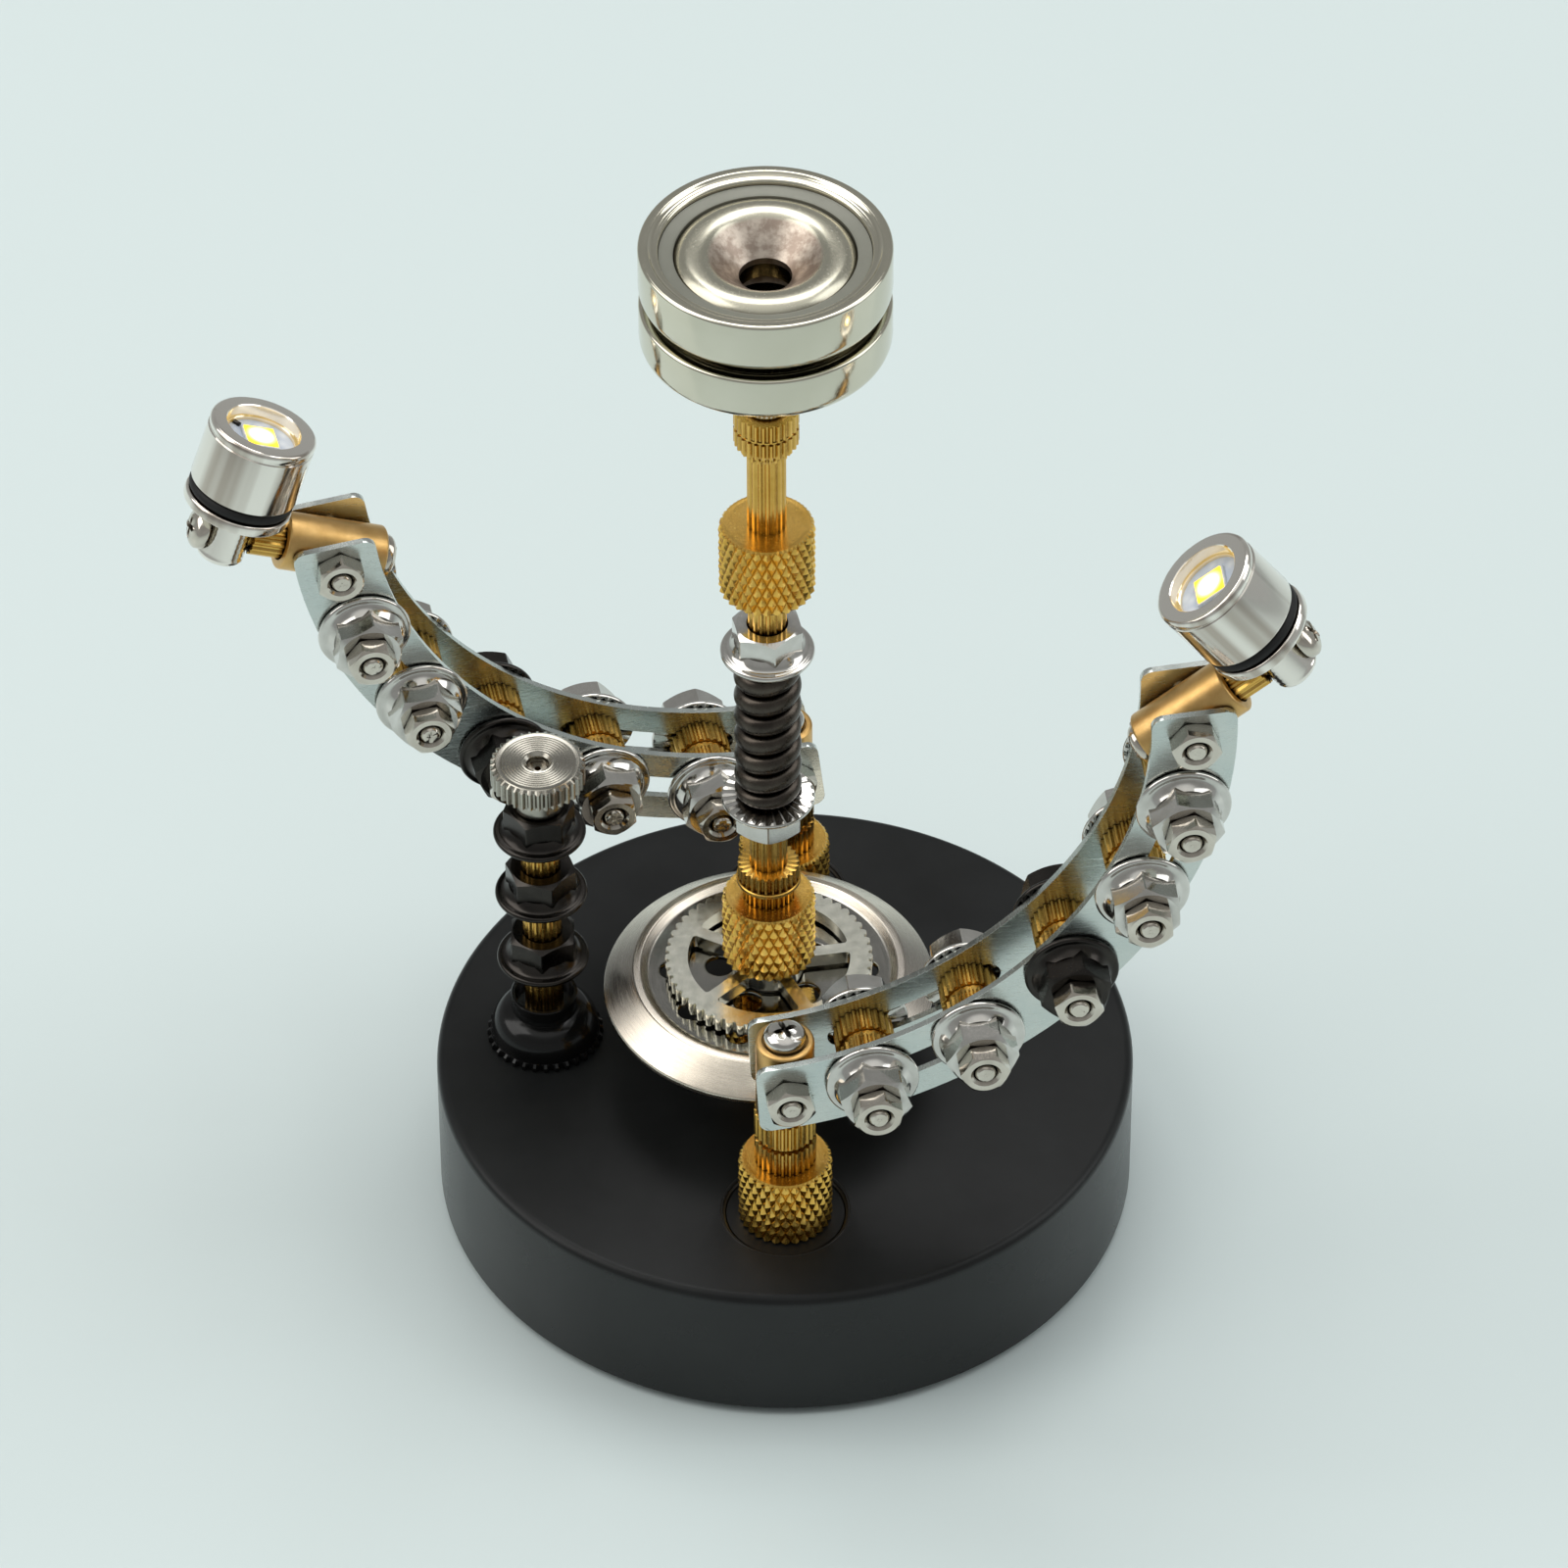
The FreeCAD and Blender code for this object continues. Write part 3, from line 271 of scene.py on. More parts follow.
def knurl_brass():
    """Brass, bright and hazy on a nut's knurled side and clearer on its flat ends; the knurled side's
    brighter brass is a painted highlight, and its grooves carry painted shade.
    """
    look = Look("knurl_brass")
    # painted highlight: the knurled side gets a brighter brass than the flat ends
    side = look.clouds(3 * MM, (0.98, 0.62, 0.15), (0.86, 0.50, 0.09))
    # painted shade darkens the knurl's grooves
    side = look.shaded_hollows(side, (0.26, 0.13, 0.02), 0.45 * MM)
    top = look.clouds(3 * MM, (0.80, 0.50, 0.13), (0.66, 0.39, 0.08))
    # mask of up-facing ends, which keep the plainer brass
    flat = look.ranged(look.upward(), 0, 1, 0.8, 0.95)
    return look.metal(look.blend(flat, side, top), look.noise(0.25 * MM, 6), (0.18, 0.28), 0.001 * MM)


def zinc_plate():
    """Thin bright zinc with a cool cast, straight rolling lines and blotches."""
    look = Look("zinc_plate")
    lines = look.noise(0.3 * MM, 4, 0.6, stretch=(0.12, 0.12, 1.0))
    tint = look.clouds(7 * MM, (0.56, 0.62, 0.60), (0.66, 0.69, 0.65))
    return look.metal(tint, lines, (0.2, 0.3), 0.0006 * MM)


def galvanised():
    """Bright zinc of the gear, faintly spangled."""
    look = Look("galvanised_steel")
    cells = look.node("TexVoronoi", Vector=look.place(), Scale=1 / (0.8 * MM))
    grey = look.node("RGBToBW", Color=cells.outputs["Color"]).outputs[0]
    tint = look.blend(look.ranged(grey, 0, 1), (0.74, 0.73, 0.63), (0.78, 0.77, 0.67))
    return look.metal(tint, look.noise(1.2 * MM, 3, 0.5), (0.17, 0.23), 0.0012 * MM)


def dish_steel(axis_x):
    """Dark polished floor inside a sloping rim brushed round the column, the rim painted darker to each
    side: painted shade copying the brushed rim's highlight, bright to front and back.
    """
    look = Look("dish_steel")
    brushed = look.circular_lines(0.16 * MM, axis_x)
    edge = 0.3 * MM
    on_rim = look.ranged(look.radius(axis_x), 0, 1, DISH_FLOOR_RADIUS - edge, DISH_FLOOR_RADIUS + edge)
    rim = look.clouds(5 * MM, (0.82, 0.74, 0.62), (0.68, 0.61, 0.51), 3)
    # painted shade: the rim's tint darkens to left and right of the column, a painted bow-tie of the brushed
    # highlight
    twice_round = look.maths("MULTIPLY", look.turn(axis_x), 2.0)
    painted_rim_shade = look.ranged(look.maths("COSINE", twice_round), 0, 1, 0.1, 0.95)
    rim = look.blend(painted_rim_shade, rim, (0.36, 0.33, 0.29))
    floor = look.clouds(5 * MM, (0.34, 0.33, 0.30), (0.26, 0.25, 0.23), 3)
    rough = look.mixed(on_rim, look.ranged(brushed, 0.07, 0.16), look.ranged(brushed, 0.2, 0.34))
    look.brush_round(0.75)
    return look.metal(look.blend(on_rim, floor, rim), brushed, rough, 0.003 * MM)


def streaked_nickel(name, glow):
    """Polished nickel with soft streaks along its axis; glow is how brightly its bore wall emits the diode's
    orange colour, a painted glow of the diode's light.
    """
    look = Look(name)
    turn = look.turn()
    round_axis = look.node("CombineXYZ", X=look.maths("COSINE", turn), Y=look.maths("SINE", turn))
    streak = look.ranged(look.noise(0.6, 2, 0.5, round_axis.outputs[0]), 0, 1, 0.38, 0.52)
    radius = look.radius()
    inside = look.ranged(radius, 1, 0, 6.3 * MM, 6.6 * MM)
    tint = look.blend(look.maths("MAXIMUM", streak, inside), (0.50, 0.44, 0.38), (0.88, 0.84, 0.77))
    # painted light: the bore wall and ledge emit the diode's colour, standing in for the diode's light
    # falling on them
    if glow:
        look.set("Emission Color", (1.0, 0.64, 0.10))
        look.set("Emission Strength", look.ranged(radius, glow, 0.0, 4.78 * MM, 4.86 * MM))
    # painted shade darkens its grooves and corners
    return look.metal(look.shaded_hollows(tint, (0.20, 0.16, 0.12)), look.noise(0.25 * MM, 6), (0.08, 0.16),
                      0.001 * MM)


def ring_plating():
    """Plated ring magnet: clear on its face, hazy and stained inside the countersink."""
    look = Look("ring_plating")
    inside = look.ranged(look.radius(), 1, 0, SINK_RADIUS - 0.3 * MM, SINK_RADIUS + 0.1 * MM)
    face = look.blend(look.noise(8 * MM), (0.60, 0.57, 0.46), (0.53, 0.51, 0.41))
    stain = look.ranged(look.noise(2.2 * MM, 6, 0.7), 0, 1, 0.42, 0.6)
    sink = look.blend(stain, (0.34, 0.27, 0.22), (0.58, 0.50, 0.42))
    # painted shade darkens grooves and corners, the countersink's bottom among them
    tint = look.shaded_hollows(look.blend(inside, face, sink), (0.12, 0.09, 0.06))
    marks = look.noise(0.3 * MM, 6)
    rough = look.mixed(inside, look.ranged(marks, 0.20, 0.28), look.ranged(marks, 0.34, 0.46))
    return look.metal(tint, marks, rough, 0.002 * MM)


def phosphor(middle_tint, edge_tint):
    """Lit phosphor of the diode, white in the middle and yellow at its edges."""
    look = Look("led_glow")
    edge = look.ranged(look.radius(), 0, 1, 0.5 * MM, 2.1 * MM)
    tint = look.blend(edge, middle_tint, edge_tint)
    look.set("Base Color", tint)
    look.set("Emission Color", tint)
    look.set("Emission Strength", look.ranged(edge, 6.0, 1.7, 0.0, 0.8))
    look.set("Roughness", look.ranged(look.noise(0.4 * MM), 0.3, 0.5))
    return look.material


def board_white():
    """Pale blue solder mask with a faint copper pattern."""
    look = Look("board_white")
    split = look.node("TexVoronoi", Vector=look.place(), Scale=1 / (1.6 * MM))
    tracks = look.ranged(split.outputs["Distance"], 0, 1, 0.1, 0.6)
    look.set("Base Color", look.blend(tracks, (0.66, 0.72, 0.80), (0.50, 0.57, 0.68)))
    look.set("Roughness", look.ranged(look.noise(0.3 * MM), 0.3, 0.45))
    look.set("Normal", look.bump(tracks, 0.01 * MM))
    return look.material


# where a metal below is given a third colour, that colour is painted shade darkening its grooves and corners
BRASS = metal("brass", (0.80, 0.50, 0.13), (0.66, 0.39, 0.08), (0.18, 0.28),
              relief=0.0015 * MM, hollow_shade=(0.10, 0.05, 0.01))
KNURL_BRASS = knurl_brass()
SMOOTH_BRASS = metal("smooth_brass", (0.72, 0.46, 0.18), (0.58, 0.35, 0.12), (0.28, 0.42),
                     patch=2 * MM, hollow_shade=(0.16, 0.08, 0.02))
DARK_BRASS = metal("dark_brass", (0.16, 0.11, 0.05), (0.10, 0.07, 0.03), (0.2, 0.34))
NICKEL = metal("nickel", (0.70, 0.65, 0.57), (0.56, 0.51, 0.44), (0.08, 0.18), relief=0.003 * MM,
               hollow_shade=(0.10, 0.085, 0.07))
TURNED_NICKEL = turned_metal("turned_nickel", (0.46, 0.44, 0.38), (0.34, 0.32, 0.28), (0.16, 0.28),
                             (0.16, 0.13, 0.10))
# painted light: the magnet boss gets a brighter nickel than the rest, with no shade in its hollows, standing
# in for the bright table it reflects
BRIGHTENED_BOSS_NICKEL = metal("brightened_boss_nickel", (0.80, 0.76, 0.68), (0.72, 0.68, 0.60), (0.14, 0.24))
LAMP_NICKEL = streaked_nickel("lamp_nickel", 0.0)
# painted glow: the barrel's bore wall emits the diode's orange light
LIT_NICKEL = streaked_nickel("lit_nickel", 0.24)
CHROME = metal("chrome", (0.70, 0.68, 0.64), (0.56, 0.54, 0.50), (0.08, 0.17), relief=0.002 * MM,
               hollow_shade=(0.12, 0.11, 0.10))
# painted shade: the brown colour given last darkens the cups' hollows and the gap between the two cups,
# standing in for the shade and the cups' reflections of each other there
MAGNET = metal("magnet_nickel", (0.68, 0.65, 0.54), (0.62, 0.59, 0.48), (0.07, 0.15), patch=8 * MM,
               relief=0.001 * MM, hollow_shade=(0.42, 0.29, 0.21))
RING_PLATING = ring_plating()
BLACK_OXIDE = metal("black_oxide", (0.052, 0.047, 0.042), (0.034, 0.031, 0.029), (0.20, 0.28),
                    relief=0.001 * MM)
SPRING_STEEL = metal("spring_steel", (0.10, 0.085, 0.07), (0.05, 0.042, 0.036), (0.24, 0.38),
                     hollow_shade=(0.01, 0.008, 0.006))
STEEL = metal("steel", (0.55, 0.55, 0.54), (0.42, 0.42, 0.41), (0.25, 0.40))
DISH_STEEL = dish_steel(middle("dish").x)
BLACK_PAINT = coated("black_paint", (0.008, 0.0085, 0.0085), (0.013, 0.014, 0.014), (0.34, 0.44),
                     sheen=0.27)
SHELL_PAINT = shell_paint()
BLACK_GLOSS = coated("black_gloss", (0.004, 0.004, 0.004), (0.007, 0.007, 0.007), (0.11, 0.2),
                     relief=0.003 * MM, sheen=0.3)
RUBBER = coated("rubber", (0.010, 0.010, 0.010), (0.018, 0.018, 0.018), (0.5, 0.65), relief=0.01 * MM,
                sheen=0.3)
POTTING = coated("potting_resin", (0.20, 0.20, 0.165), (0.24, 0.24, 0.20), (0.38, 0.52), metallic=0.3)
ZINC = zinc_plate()
GALVANISED = galvanised()
BOARD = board_white()
GLOW = phosphor((1.0, 0.97, 0.80), (1.0, 0.62, 0.03))


# ---- mesh forms: (points, faces) ----
def ring(count, height, radius):
    """Points round Z; radius is a number or a function of the point's index."""
    points = []
    for index in range(count):
        turn = 2 * pi * index / count
        reach = radius(index) if callable(radius) else radius
        points.append(Vector((reach * cos(turn), reach * sin(turn), height)))
    return points


def toothed(radius, depth):
    """Radius by a point's index: two points out, then two in."""
    return lambda index: radius - (depth if index % 4 > 1 else 0)


def grooved_face(height, start, pitch, groove, steps):
    """Profile inwards across a flat top with fine turned grooves."""
    return [(start - step * pitch, height - groove * (step % 2)) for step in range(steps)]


def skin(rings, closed=False, diamond_rows=()):
    """Faces between rings of equal count; open ends are capped."""
    count = len(rings[0])
    points = [point for row in rings for point in row]
    faces = []
    for row in range(len(rings) - (0 if closed else 1)):
        low, high = row * count, (row + 1) % len(rings) * count
        for index in range(count):
            after = (index + 1) % count
            a, b, c, d = low + index, low + after, high + after, high + index
            if row not in diamond_rows:
                faces.append((a, b, c, d))
            elif (row + index + 1) % 4:         # the diagonals follow the slanted grooves
                faces += [(a, b, c), (a, c, d)]
            else:
                faces += [(a, b, d), (b, c, d)]
    if not closed:
        faces.append(tuple(reversed(range(count))))
        faces.append(tuple(range(len(points) - count, len(points))))
    return points, faces


def turned(profile, closed=False, count=SMOOTH, diamond_rows=()):
    """Lathe form from (radius, height) points, from the bottom up the outside."""
    return skin([ring(count, height, radius) for radius, height in profile], closed, diamond_rows)


def arc(centre, radius, start, end, steps=8):
    """Points of a profile's rounded stretch, angles in degrees."""
    turns = [radians(start + (end - start) * step / steps) for step in range(steps + 1)]
    return [(centre[0] + radius * cos(turn), centre[1] + radius * sin(turn)) for turn in turns]


def knurled(radius, low, high, bore, teeth=28, rows=13):
    """Round nut with long diamonds between two families of slanted grooves, and a turned top."""
    depth = 0.5 * MM
    chamfer = 0.3 * MM
    shoulder = radius - chamfer - depth / 2
    cut = {0: depth, 1: 0.36 * depth, 2: 0.0}       # by the steps to the nearest groove
    profile = [(bore, low), (shoulder, low)]
    for row in range(rows + 1):
        first = len(profile)

        def reach(index, first=first):
            slants = ((first + index) % 4, (first - index) % 4)
            return radius - cut[min(min(slant, 4 - slant) for slant in slants)]
        profile.append((reach, low + chamfer + (high - low - 2 * chamfer) * row / rows))
    profile.append((shoulder, high))
    profile += grooved_face(high, shoulder - depth / 2 - 0.2 * MM, 0.26 * MM, 0.03 * MM, 12)
    profile.append((bore, high))
    return turned(profile, True, 4 * teeth, range(2, 2 + rows))


def fluted(tiers, bore, teeth):
    """Coaxial tiers of (radius, low, high, flute depth) in one splined piece."""
    profile = []
    for radius, low, high, depth in tiers:
        edge = min(0.15 * MM, (high - low) / 4)
        flutes = toothed(radius, depth)
        profile += [(radius - depth - edge, low), (flutes, low + edge / 2), (flutes, high - edge / 2),
                    (radius - depth - edge, high)]
    if bore:
        profile = [(bore, tiers[0][1])] + profile + [(bore, tiers[-1][2])]
    return turned(profile, bool(bore), 4 * teeth)


def hexagon(flats, low, high, bore, both_ends=True):
    """Hexagon prism with the curved chamfers and slightly rounded corners of a real nut."""
    sink = 0.4 * MM
    steps = [radians(step) for step in (-28.8, -24, -16, -8, 0, 8, 16, 24, 28.8)]
    turns = [(side * pi / 3 + step, flats / 2 / cos(step)) for side in range(6) for step in steps]
    inside = flats / 2 * 0.96

    def row(height, reach, drop=0.0):
        points = []
        for turn, corner in turns:
            radius = min(reach, corner)
            points.append(Vector((radius * cos(turn), radius * sin(turn),
                                  height + drop * (radius - inside))))
        return points

    slope = tan(radians(32))
    bottom = row(low, flats, slope if both_ends else 0)
    rings = [row(low, bore), row(low, inside), bottom, row(high, flats, -slope), row(high, inside),
             row(high, bore + sink), row(high - sink, bore)]
    return skin(rings, True)


def flange(teeth=26):
    """Dished flange of a hexagon nut: round rim, saw teeth underneath, flange face on Z = 0."""
    count = 4 * teeth
    depth = 0.3 * MM
    edge = 0.42 * MM
    corner = FLANGE_NUT_FLATS / sqrt(3)

    def teeth_row(radius, share):
        points = ring(count, 0, radius)
        for index, point in enumerate(points):
            point.z = depth * share * (index % 4) / 3
        return points

    rings = [ring(count, 0, FLANGE_BORE), teeth_row(FLANGE_NUT_RADIUS * 0.55, 0),
             teeth_row(FLANGE_NUT_RADIUS - edge, 1)]
    for radius, height in arc((FLANGE_NUT_RADIUS - edge, edge + 0.1 * MM), edge, -45, 90, 7):
        rings.append(ring(count, height, radius))
    inner = corner * 0.90
    outer = FLANGE_NUT_RADIUS - edge - 0.25 * MM
    for step in range(7):
        share = step / 6
        height = FLANGE_EDGE + (FLANGE_TOP - FLANGE_EDGE) * share ** 1.8
        rings.append(ring(count, height, outer + (inner - outer) * share))
    rings.append(ring(count, FLANGE_TOP, FLANGE_BORE))
    return skin(rings, True)


def flange_nut(place):
    """Flange and hexagon of one nut, flange face on the place's Z = 0."""
    return [(flange(), place),
            (hexagon(FLANGE_NUT_FLATS, FLANGE_EDGE, FLANGE_NUT_HEIGHT, FLANGE_BORE, False), place)]


def cut_end(seed, top):
    """Sawn end of a bolt inside the mouth of its nut, a little rough."""
    dice = random.Random(seed)
    count = 20
    rings = []
    for radius, height, rough in ((1.44, -1.2, 0), (1.42, -0.55, 0), (1.16, -0.12, 0.02), (1.02, 0.02, 0.05),
                                  (0.62, 0.06, 0.06), (0.25, 0.0, 0.05)):
        row = ring(count, top + height * MM, radius * MM)
        for point in row:
            point.z += dice.uniform(-rough, rough) * MM
        rings.append(row)
    return skin(rings)


def coil_form(radius, wire_radius, half_height, low, high, coils, around=16, per_turn=48):
    """Oval wire wound up Z; both end coils are ground flat against the nuts."""
    ground = 0.5 * half_height
    full = 2 * half_height
    pitch = (high - low - full - 2 * ground) / (coils - 2)

    def edges(turn):
        """Bottom and top of the wire after some turns from the lower end."""
        bottom = ground * turn if turn < 1 else ground + pitch * (turn - 1)
        return bottom, bottom + (ground + (full - ground) * min(turn, 1))

    rings = []
    for step in range(coils * per_turn + 1):
        turn = step / per_turn
        if turn <= coils / 2:
            bottom, top = (low + edge for edge in edges(turn))
        else:
            top, bottom = (high - edge for edge in edges(coils - turn))
        out = Vector((cos(2 * pi * turn), sin(2 * pi * turn), 0))
        centre = out * radius + UP * (bottom + top) / 2
        row = []
        for index in range(around):
            angle = 2 * pi * index / around
            rise = (top - bottom) / 2 * sin(angle)
            row.append(centre + out * (wire_radius * cos(angle)) + UP * rise)
        rings.append(list(reversed(row)))
    return skin(rings)


# ---- pieces ----
def new_object(name, data):
    made = bpy.data.objects.new(name, data)
    bpy.context.scene.collection.objects.link(made)
    return made


def new_mesh(name, points, faces, soften=0.0):
    """Mesh with consistent normals and, where asked, rounded edges."""
    mesh = bpy.data.meshes.new(name)
    mesh.from_pydata(points, [], faces)
    work = bmesh.new()
    work.from_mesh(mesh)
    bmesh.ops.remove_doubles(work, verts=work.verts, dist=0.001 * MM)
    bmesh.ops.recalc_face_normals(work, faces=work.faces)
    if soften:
        edges = [edge for edge in work.edges if edge.is_manifold and edge.calc_face_angle(0) > radians(28)]
        bmesh.ops.bevel(work, geom=edges, offset=soften, segments=2, profile=0.6, affect="EDGES",
                        clamp_overlap=True)
    work.to_mesh(mesh)
    work.free()
    return mesh


def flat_faces(made):
    """Keep flat faces flat beside rounded edges."""
    weighted = made.modifiers.new("flat_faces", "WEIGHTED_NORMAL")
    weighted.keep_sharp = True


def piece(name, forms, material, body, nodes, place=None, soften=0.0, sharp=38.0):
    """One object from (form, matrix) pairs or bare forms, in its own frame."""
    points, faces = [], []
    for form in forms:
        shape, matrix = form if isinstance(form[1], Matrix) else (form, Matrix())
        start = len(points)
        points += [matrix @ point for point in shape[0]]
        faces += [tuple(start + corner for corner in face) for face in shape[1]]
    mesh = new_mesh(name, points, faces, soften)
    mesh.shade_smooth()
    mesh.set_sharp_from_angle(angle=radians(sharp))
    mesh.materials.append(material)
    made = new_object(name, mesh)
    made.matrix_world = place or Matrix()
    if soften:
        flat_faces(made)
    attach(made, body)
    if nodes:
        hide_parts(*nodes)
    return made


def carve(made, cutters):
    """Cut (form, matrix) solids out of a piece for good."""
    tools = []
    for (points, faces), matrix in cutters:
        tool = new_object("cutter", new_mesh("cutter", [matrix @ point for point in points], faces))
        tools.append(tool)
        cut = made.modifiers.new("cut", "BOOLEAN")
        cut.solver = "EXACT"
        cut.object = tool
    bpy.context.view_layer.update()
    shaped = bpy.data.meshes.new_from_object(made.evaluated_get(bpy.context.evaluated_depsgraph_get()))
    made.modifiers.clear()
    made.data = shaped
    for tool in tools:
        bpy.data.objects.remove(tool)


def at(x, y, z=0.0):
    return Matrix.Translation((x, y, z))


def flip():
    return Matrix.Rotation(pi, 4, "X")


def spin(angle):
    return Matrix.Rotation(radians(angle), 4, "Z")


def axes(x_axis, y_axis, z_axis, origin):
    matrix = Matrix((x_axis, y_axis, z_axis)).transposed().to_4x4()
    matrix.translation = origin
    return matrix


def islands(node):
    """Boxes of the separate solids in one CAD node, lowest first."""
    work = bmesh.new()
    work.from_mesh(frame["nodes"][node].data)
    bmesh.ops.remove_doubles(work, verts=work.verts, dist=0.001 * MM)
    left = set(work.verts)
    boxes = []
    while left:
        stack = [left.pop()]
        group = []
        while stack:
            vertex = stack.pop()
            group.append(vertex.co.copy())
            for edge in vertex.link_edges:
                other = edge.other_vert(vertex)
                if other in left:
                    left.remove(other)
                    stack.append(other)
        boxes.append((Vector(map(min, *group)), Vector(map(max, *group))))
    work.free()
    return sorted(boxes, key=lambda box: (round(box[0].z, 4), round(box[0].y, 4)))


def cad_finish(node, material, soften=0.12 * MM):
    """Keep a CAD node's shape: weld it, round its edges and give it a material."""
    kept = frame["nodes"][node]
    kept.data.materials.clear()
    kept.data.materials.append(material)
    weld = kept.modifiers.new("weld", "WELD")
    weld.merge_threshold = 0.002 * MM
    if soften:
        bevel = kept.modifiers.new("soft_edges", "BEVEL")
        bevel.width = soften
        bevel.segments = 2
        bevel.limit_method = "ANGLE"
        bevel.angle_limit = radians(32)
    flat_faces(kept)


# ---- camera, light and floor ----
def add_camera():
    """Long lens, looking down on the stand from the front."""
    elevation = radians(43.15)
    roll = radians(-0.2)
    distance = 1207 * MM
    target = Vector((0, 72.3 * MM, 0))
    data = bpy.data.cameras.new("camera")
    data.sensor_width = 36.0
    data.lens = 202.5
    data.clip_start = 0.05
    data.clip_end = 30.0
    camera = new_object("camera", data)
    camera.location = target + Vector((0, -cos(elevation), sin(elevation))) * distance
    aim = (target - camera.location).to_track_quat("-Z", "Y").to_matrix().to_4x4()
    camera.matrix_world = Matrix.Translation(camera.location) @ aim @ Matrix.Rotation(roll, 4, "Z")
    bpy.context.scene.camera = camera


def add_light(name, place, target, size, power, colour=(1.0, 1.0, 1.0)):
    data = bpy.data.lights.new(name, "AREA")
    data.shape = "RECTANGLE"
    data.size, data.size_y = size
    data.energy = power
    data.color = colour
    light = new_object(name, data)
    light.location = Vector(place)
    light.rotation_euler = (Vector(target) - Vector(place)).to_track_quat("-Z", "Y").to_euler()


def add_studio():
    """Soft sky, grey round the horizon and bright overhead, with a softbox on each side and one above."""
    world = bpy.data.worlds.new("studio")
    bpy.context.scene.world = world
    world.use_nodes = True
    tree = world.node_tree
    background = tree.nodes["Background"]
    direction = tree.nodes.new("ShaderNodeTexCoord").outputs["Generated"]
    height = tree.nodes.new("ShaderNodeSeparateXYZ")
    tree.links.new(direction, height.inputs[0])
    ramp = tree.nodes.new("ShaderNodeValToRGB")
    stops = ramp.color_ramp.elements
    stops[0].color = (0.42, 0.44, 0.44, 1.0)
    stops[1].color = (1.0, 1.0, 0.98, 1.0)
    for position, value in ((0.30, 0.40), (0.55, 0.34), (0.74, 0.38), (0.88, 0.85)):
        stop = stops.new(position)
        stop.color = (value, value * 1.02, value * 1.01, 1.0)
    tree.links.new(height.outputs[2], ramp.inputs[0])
    tree.links.new(ramp.outputs[0], background.inputs[0])
    background.inputs[1].default_value = 0.86
    add_light("key", (-0.85, 0.0, 0.85), (0, 0, 0.06), (0.8, 1.0), 5.5, (1.0, 0.985, 0.96))
    add_light("fill", (0.95, 0.1, 0.75), (0, 0, 0.06), (0.6, 1.0), 3.4, (0.97, 0.99, 1.0))
    add_light("overhead", (0.0, 0.5, 1.15), (0, 0.1, 0.0), (0.9, 0.6), 4.5)


def add_floor():
    """Pale glossy table with the faintest unevenness."""
    data = bpy.data.meshes.new("floor")
    half = 6.0
    level = -0.05 * MM
    data.from_pydata([(-half, -half, level), (half, -half, level), (half, half, level),
                      (-half, half, level)], [], [(0, 1, 2, 3)])
    look = Look("floor")
    cloud = look.noise(0.25, 3)
    look.set("Base Color", look.blend(cloud, (0.66, 0.745, 0.74), (0.68, 0.765, 0.76)))
    look.set("Roughness", look.ranged(look.noise(0.12, 3), 0.14, 0.2))
    look.set("Specular IOR Level", 0.35)
    data.materials.append(look.material)
    floor = new_object("floor", data)


# ---- base and posts ----
def build_base():
    low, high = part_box("base_cover")
    outer = half_width(low, high)
    wall = 2.0 * MM
    roof = high.z - 2.5 * MM
    rounding = 1.3 * MM
    rod_hole = 1.0 * MM
    top = high.z
    rim = arc((outer - rounding, top - rounding), rounding, 0, 90)
    cover = turned([(outer - wall, low.z), (outer - 0.3 * MM, low.z), (outer, low.z + 0.3 * MM)] + rim
                   + [(rod_hole, top), (rod_hole, roof), (outer - wall, roof)], True, 256)
    shell = piece("base_cover_shell", [cover], SHELL_PAINT, "stand", ["base_cover"])
    foot_low, foot_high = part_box("foot_pad")
    radius = half_width(foot_low, foot_high)
    pad = turned([(radius - 0.3 * MM, 0), (radius, 0.3 * MM), (radius, foot_high.z)], count=FINE)
    piece("foot_pad_disc", [pad], RUBBER, "stand", ["foot_pad"])
    build_seats(shell, min(box[0].z for box in islands("knurled_nuts")), top)
    cad_finish("base_plate", BLACK_PAINT)
    cad_finish("ballast_weight", STEEL)
    cad_finish("base_screws", NICKEL)
    cad_finish("inside_nuts", STEEL)


def build_seats(shell, floor, top):
    """Shallow seat in the base round each arm's post, with a fine raised lip."""
    posts = [joint_place(side + "_arm_swing") for side in SIDES]
    hollow = turned([(SEAT_RADIUS, floor), (SEAT_RADIUS, top + 1 * MM)])
    carve(shell, [(hollow, at(post.x, post.y)) for post in posts])
    inner = SEAT_RADIUS - 0.5 * MM
    lip = turned([(inner, floor), (SEAT_RADIUS - 0.1 * MM, floor), (SEAT_RADIUS - 0.05 * MM, top - 0.1 * MM),
                  (SEAT_RADIUS + 0.25 * MM, top + 0.05 * MM), (SEAT_RADIUS + 0.35 * MM, top - 0.05 * MM),
                  (inner, floor - 0.1 * MM)], True)
    lips = [(lip, at(post.x, post.y)) for post in posts]
    piece("seat_rings", lips, BLACK_PAINT, "stand", [])


def on_islands(node, make_form):
    """A form for each solid of a CAD node, on that solid's own axis."""
    forms = []
    for low, high in islands(node):
        centre = (low + high) / 2
        forms.append((make_form(low, high), at(centre.x, centre.y)))
    return forms


def knurled_nut(low, high):
    return knurled(KNURLED_NUT_RADIUS, low.z, high.z, CLEAR_BORE)


def splined_insert(low, high):
    return fluted(insert_tiers(half_width(low, high), low.z, high.z), SNUG_BORE, 26)


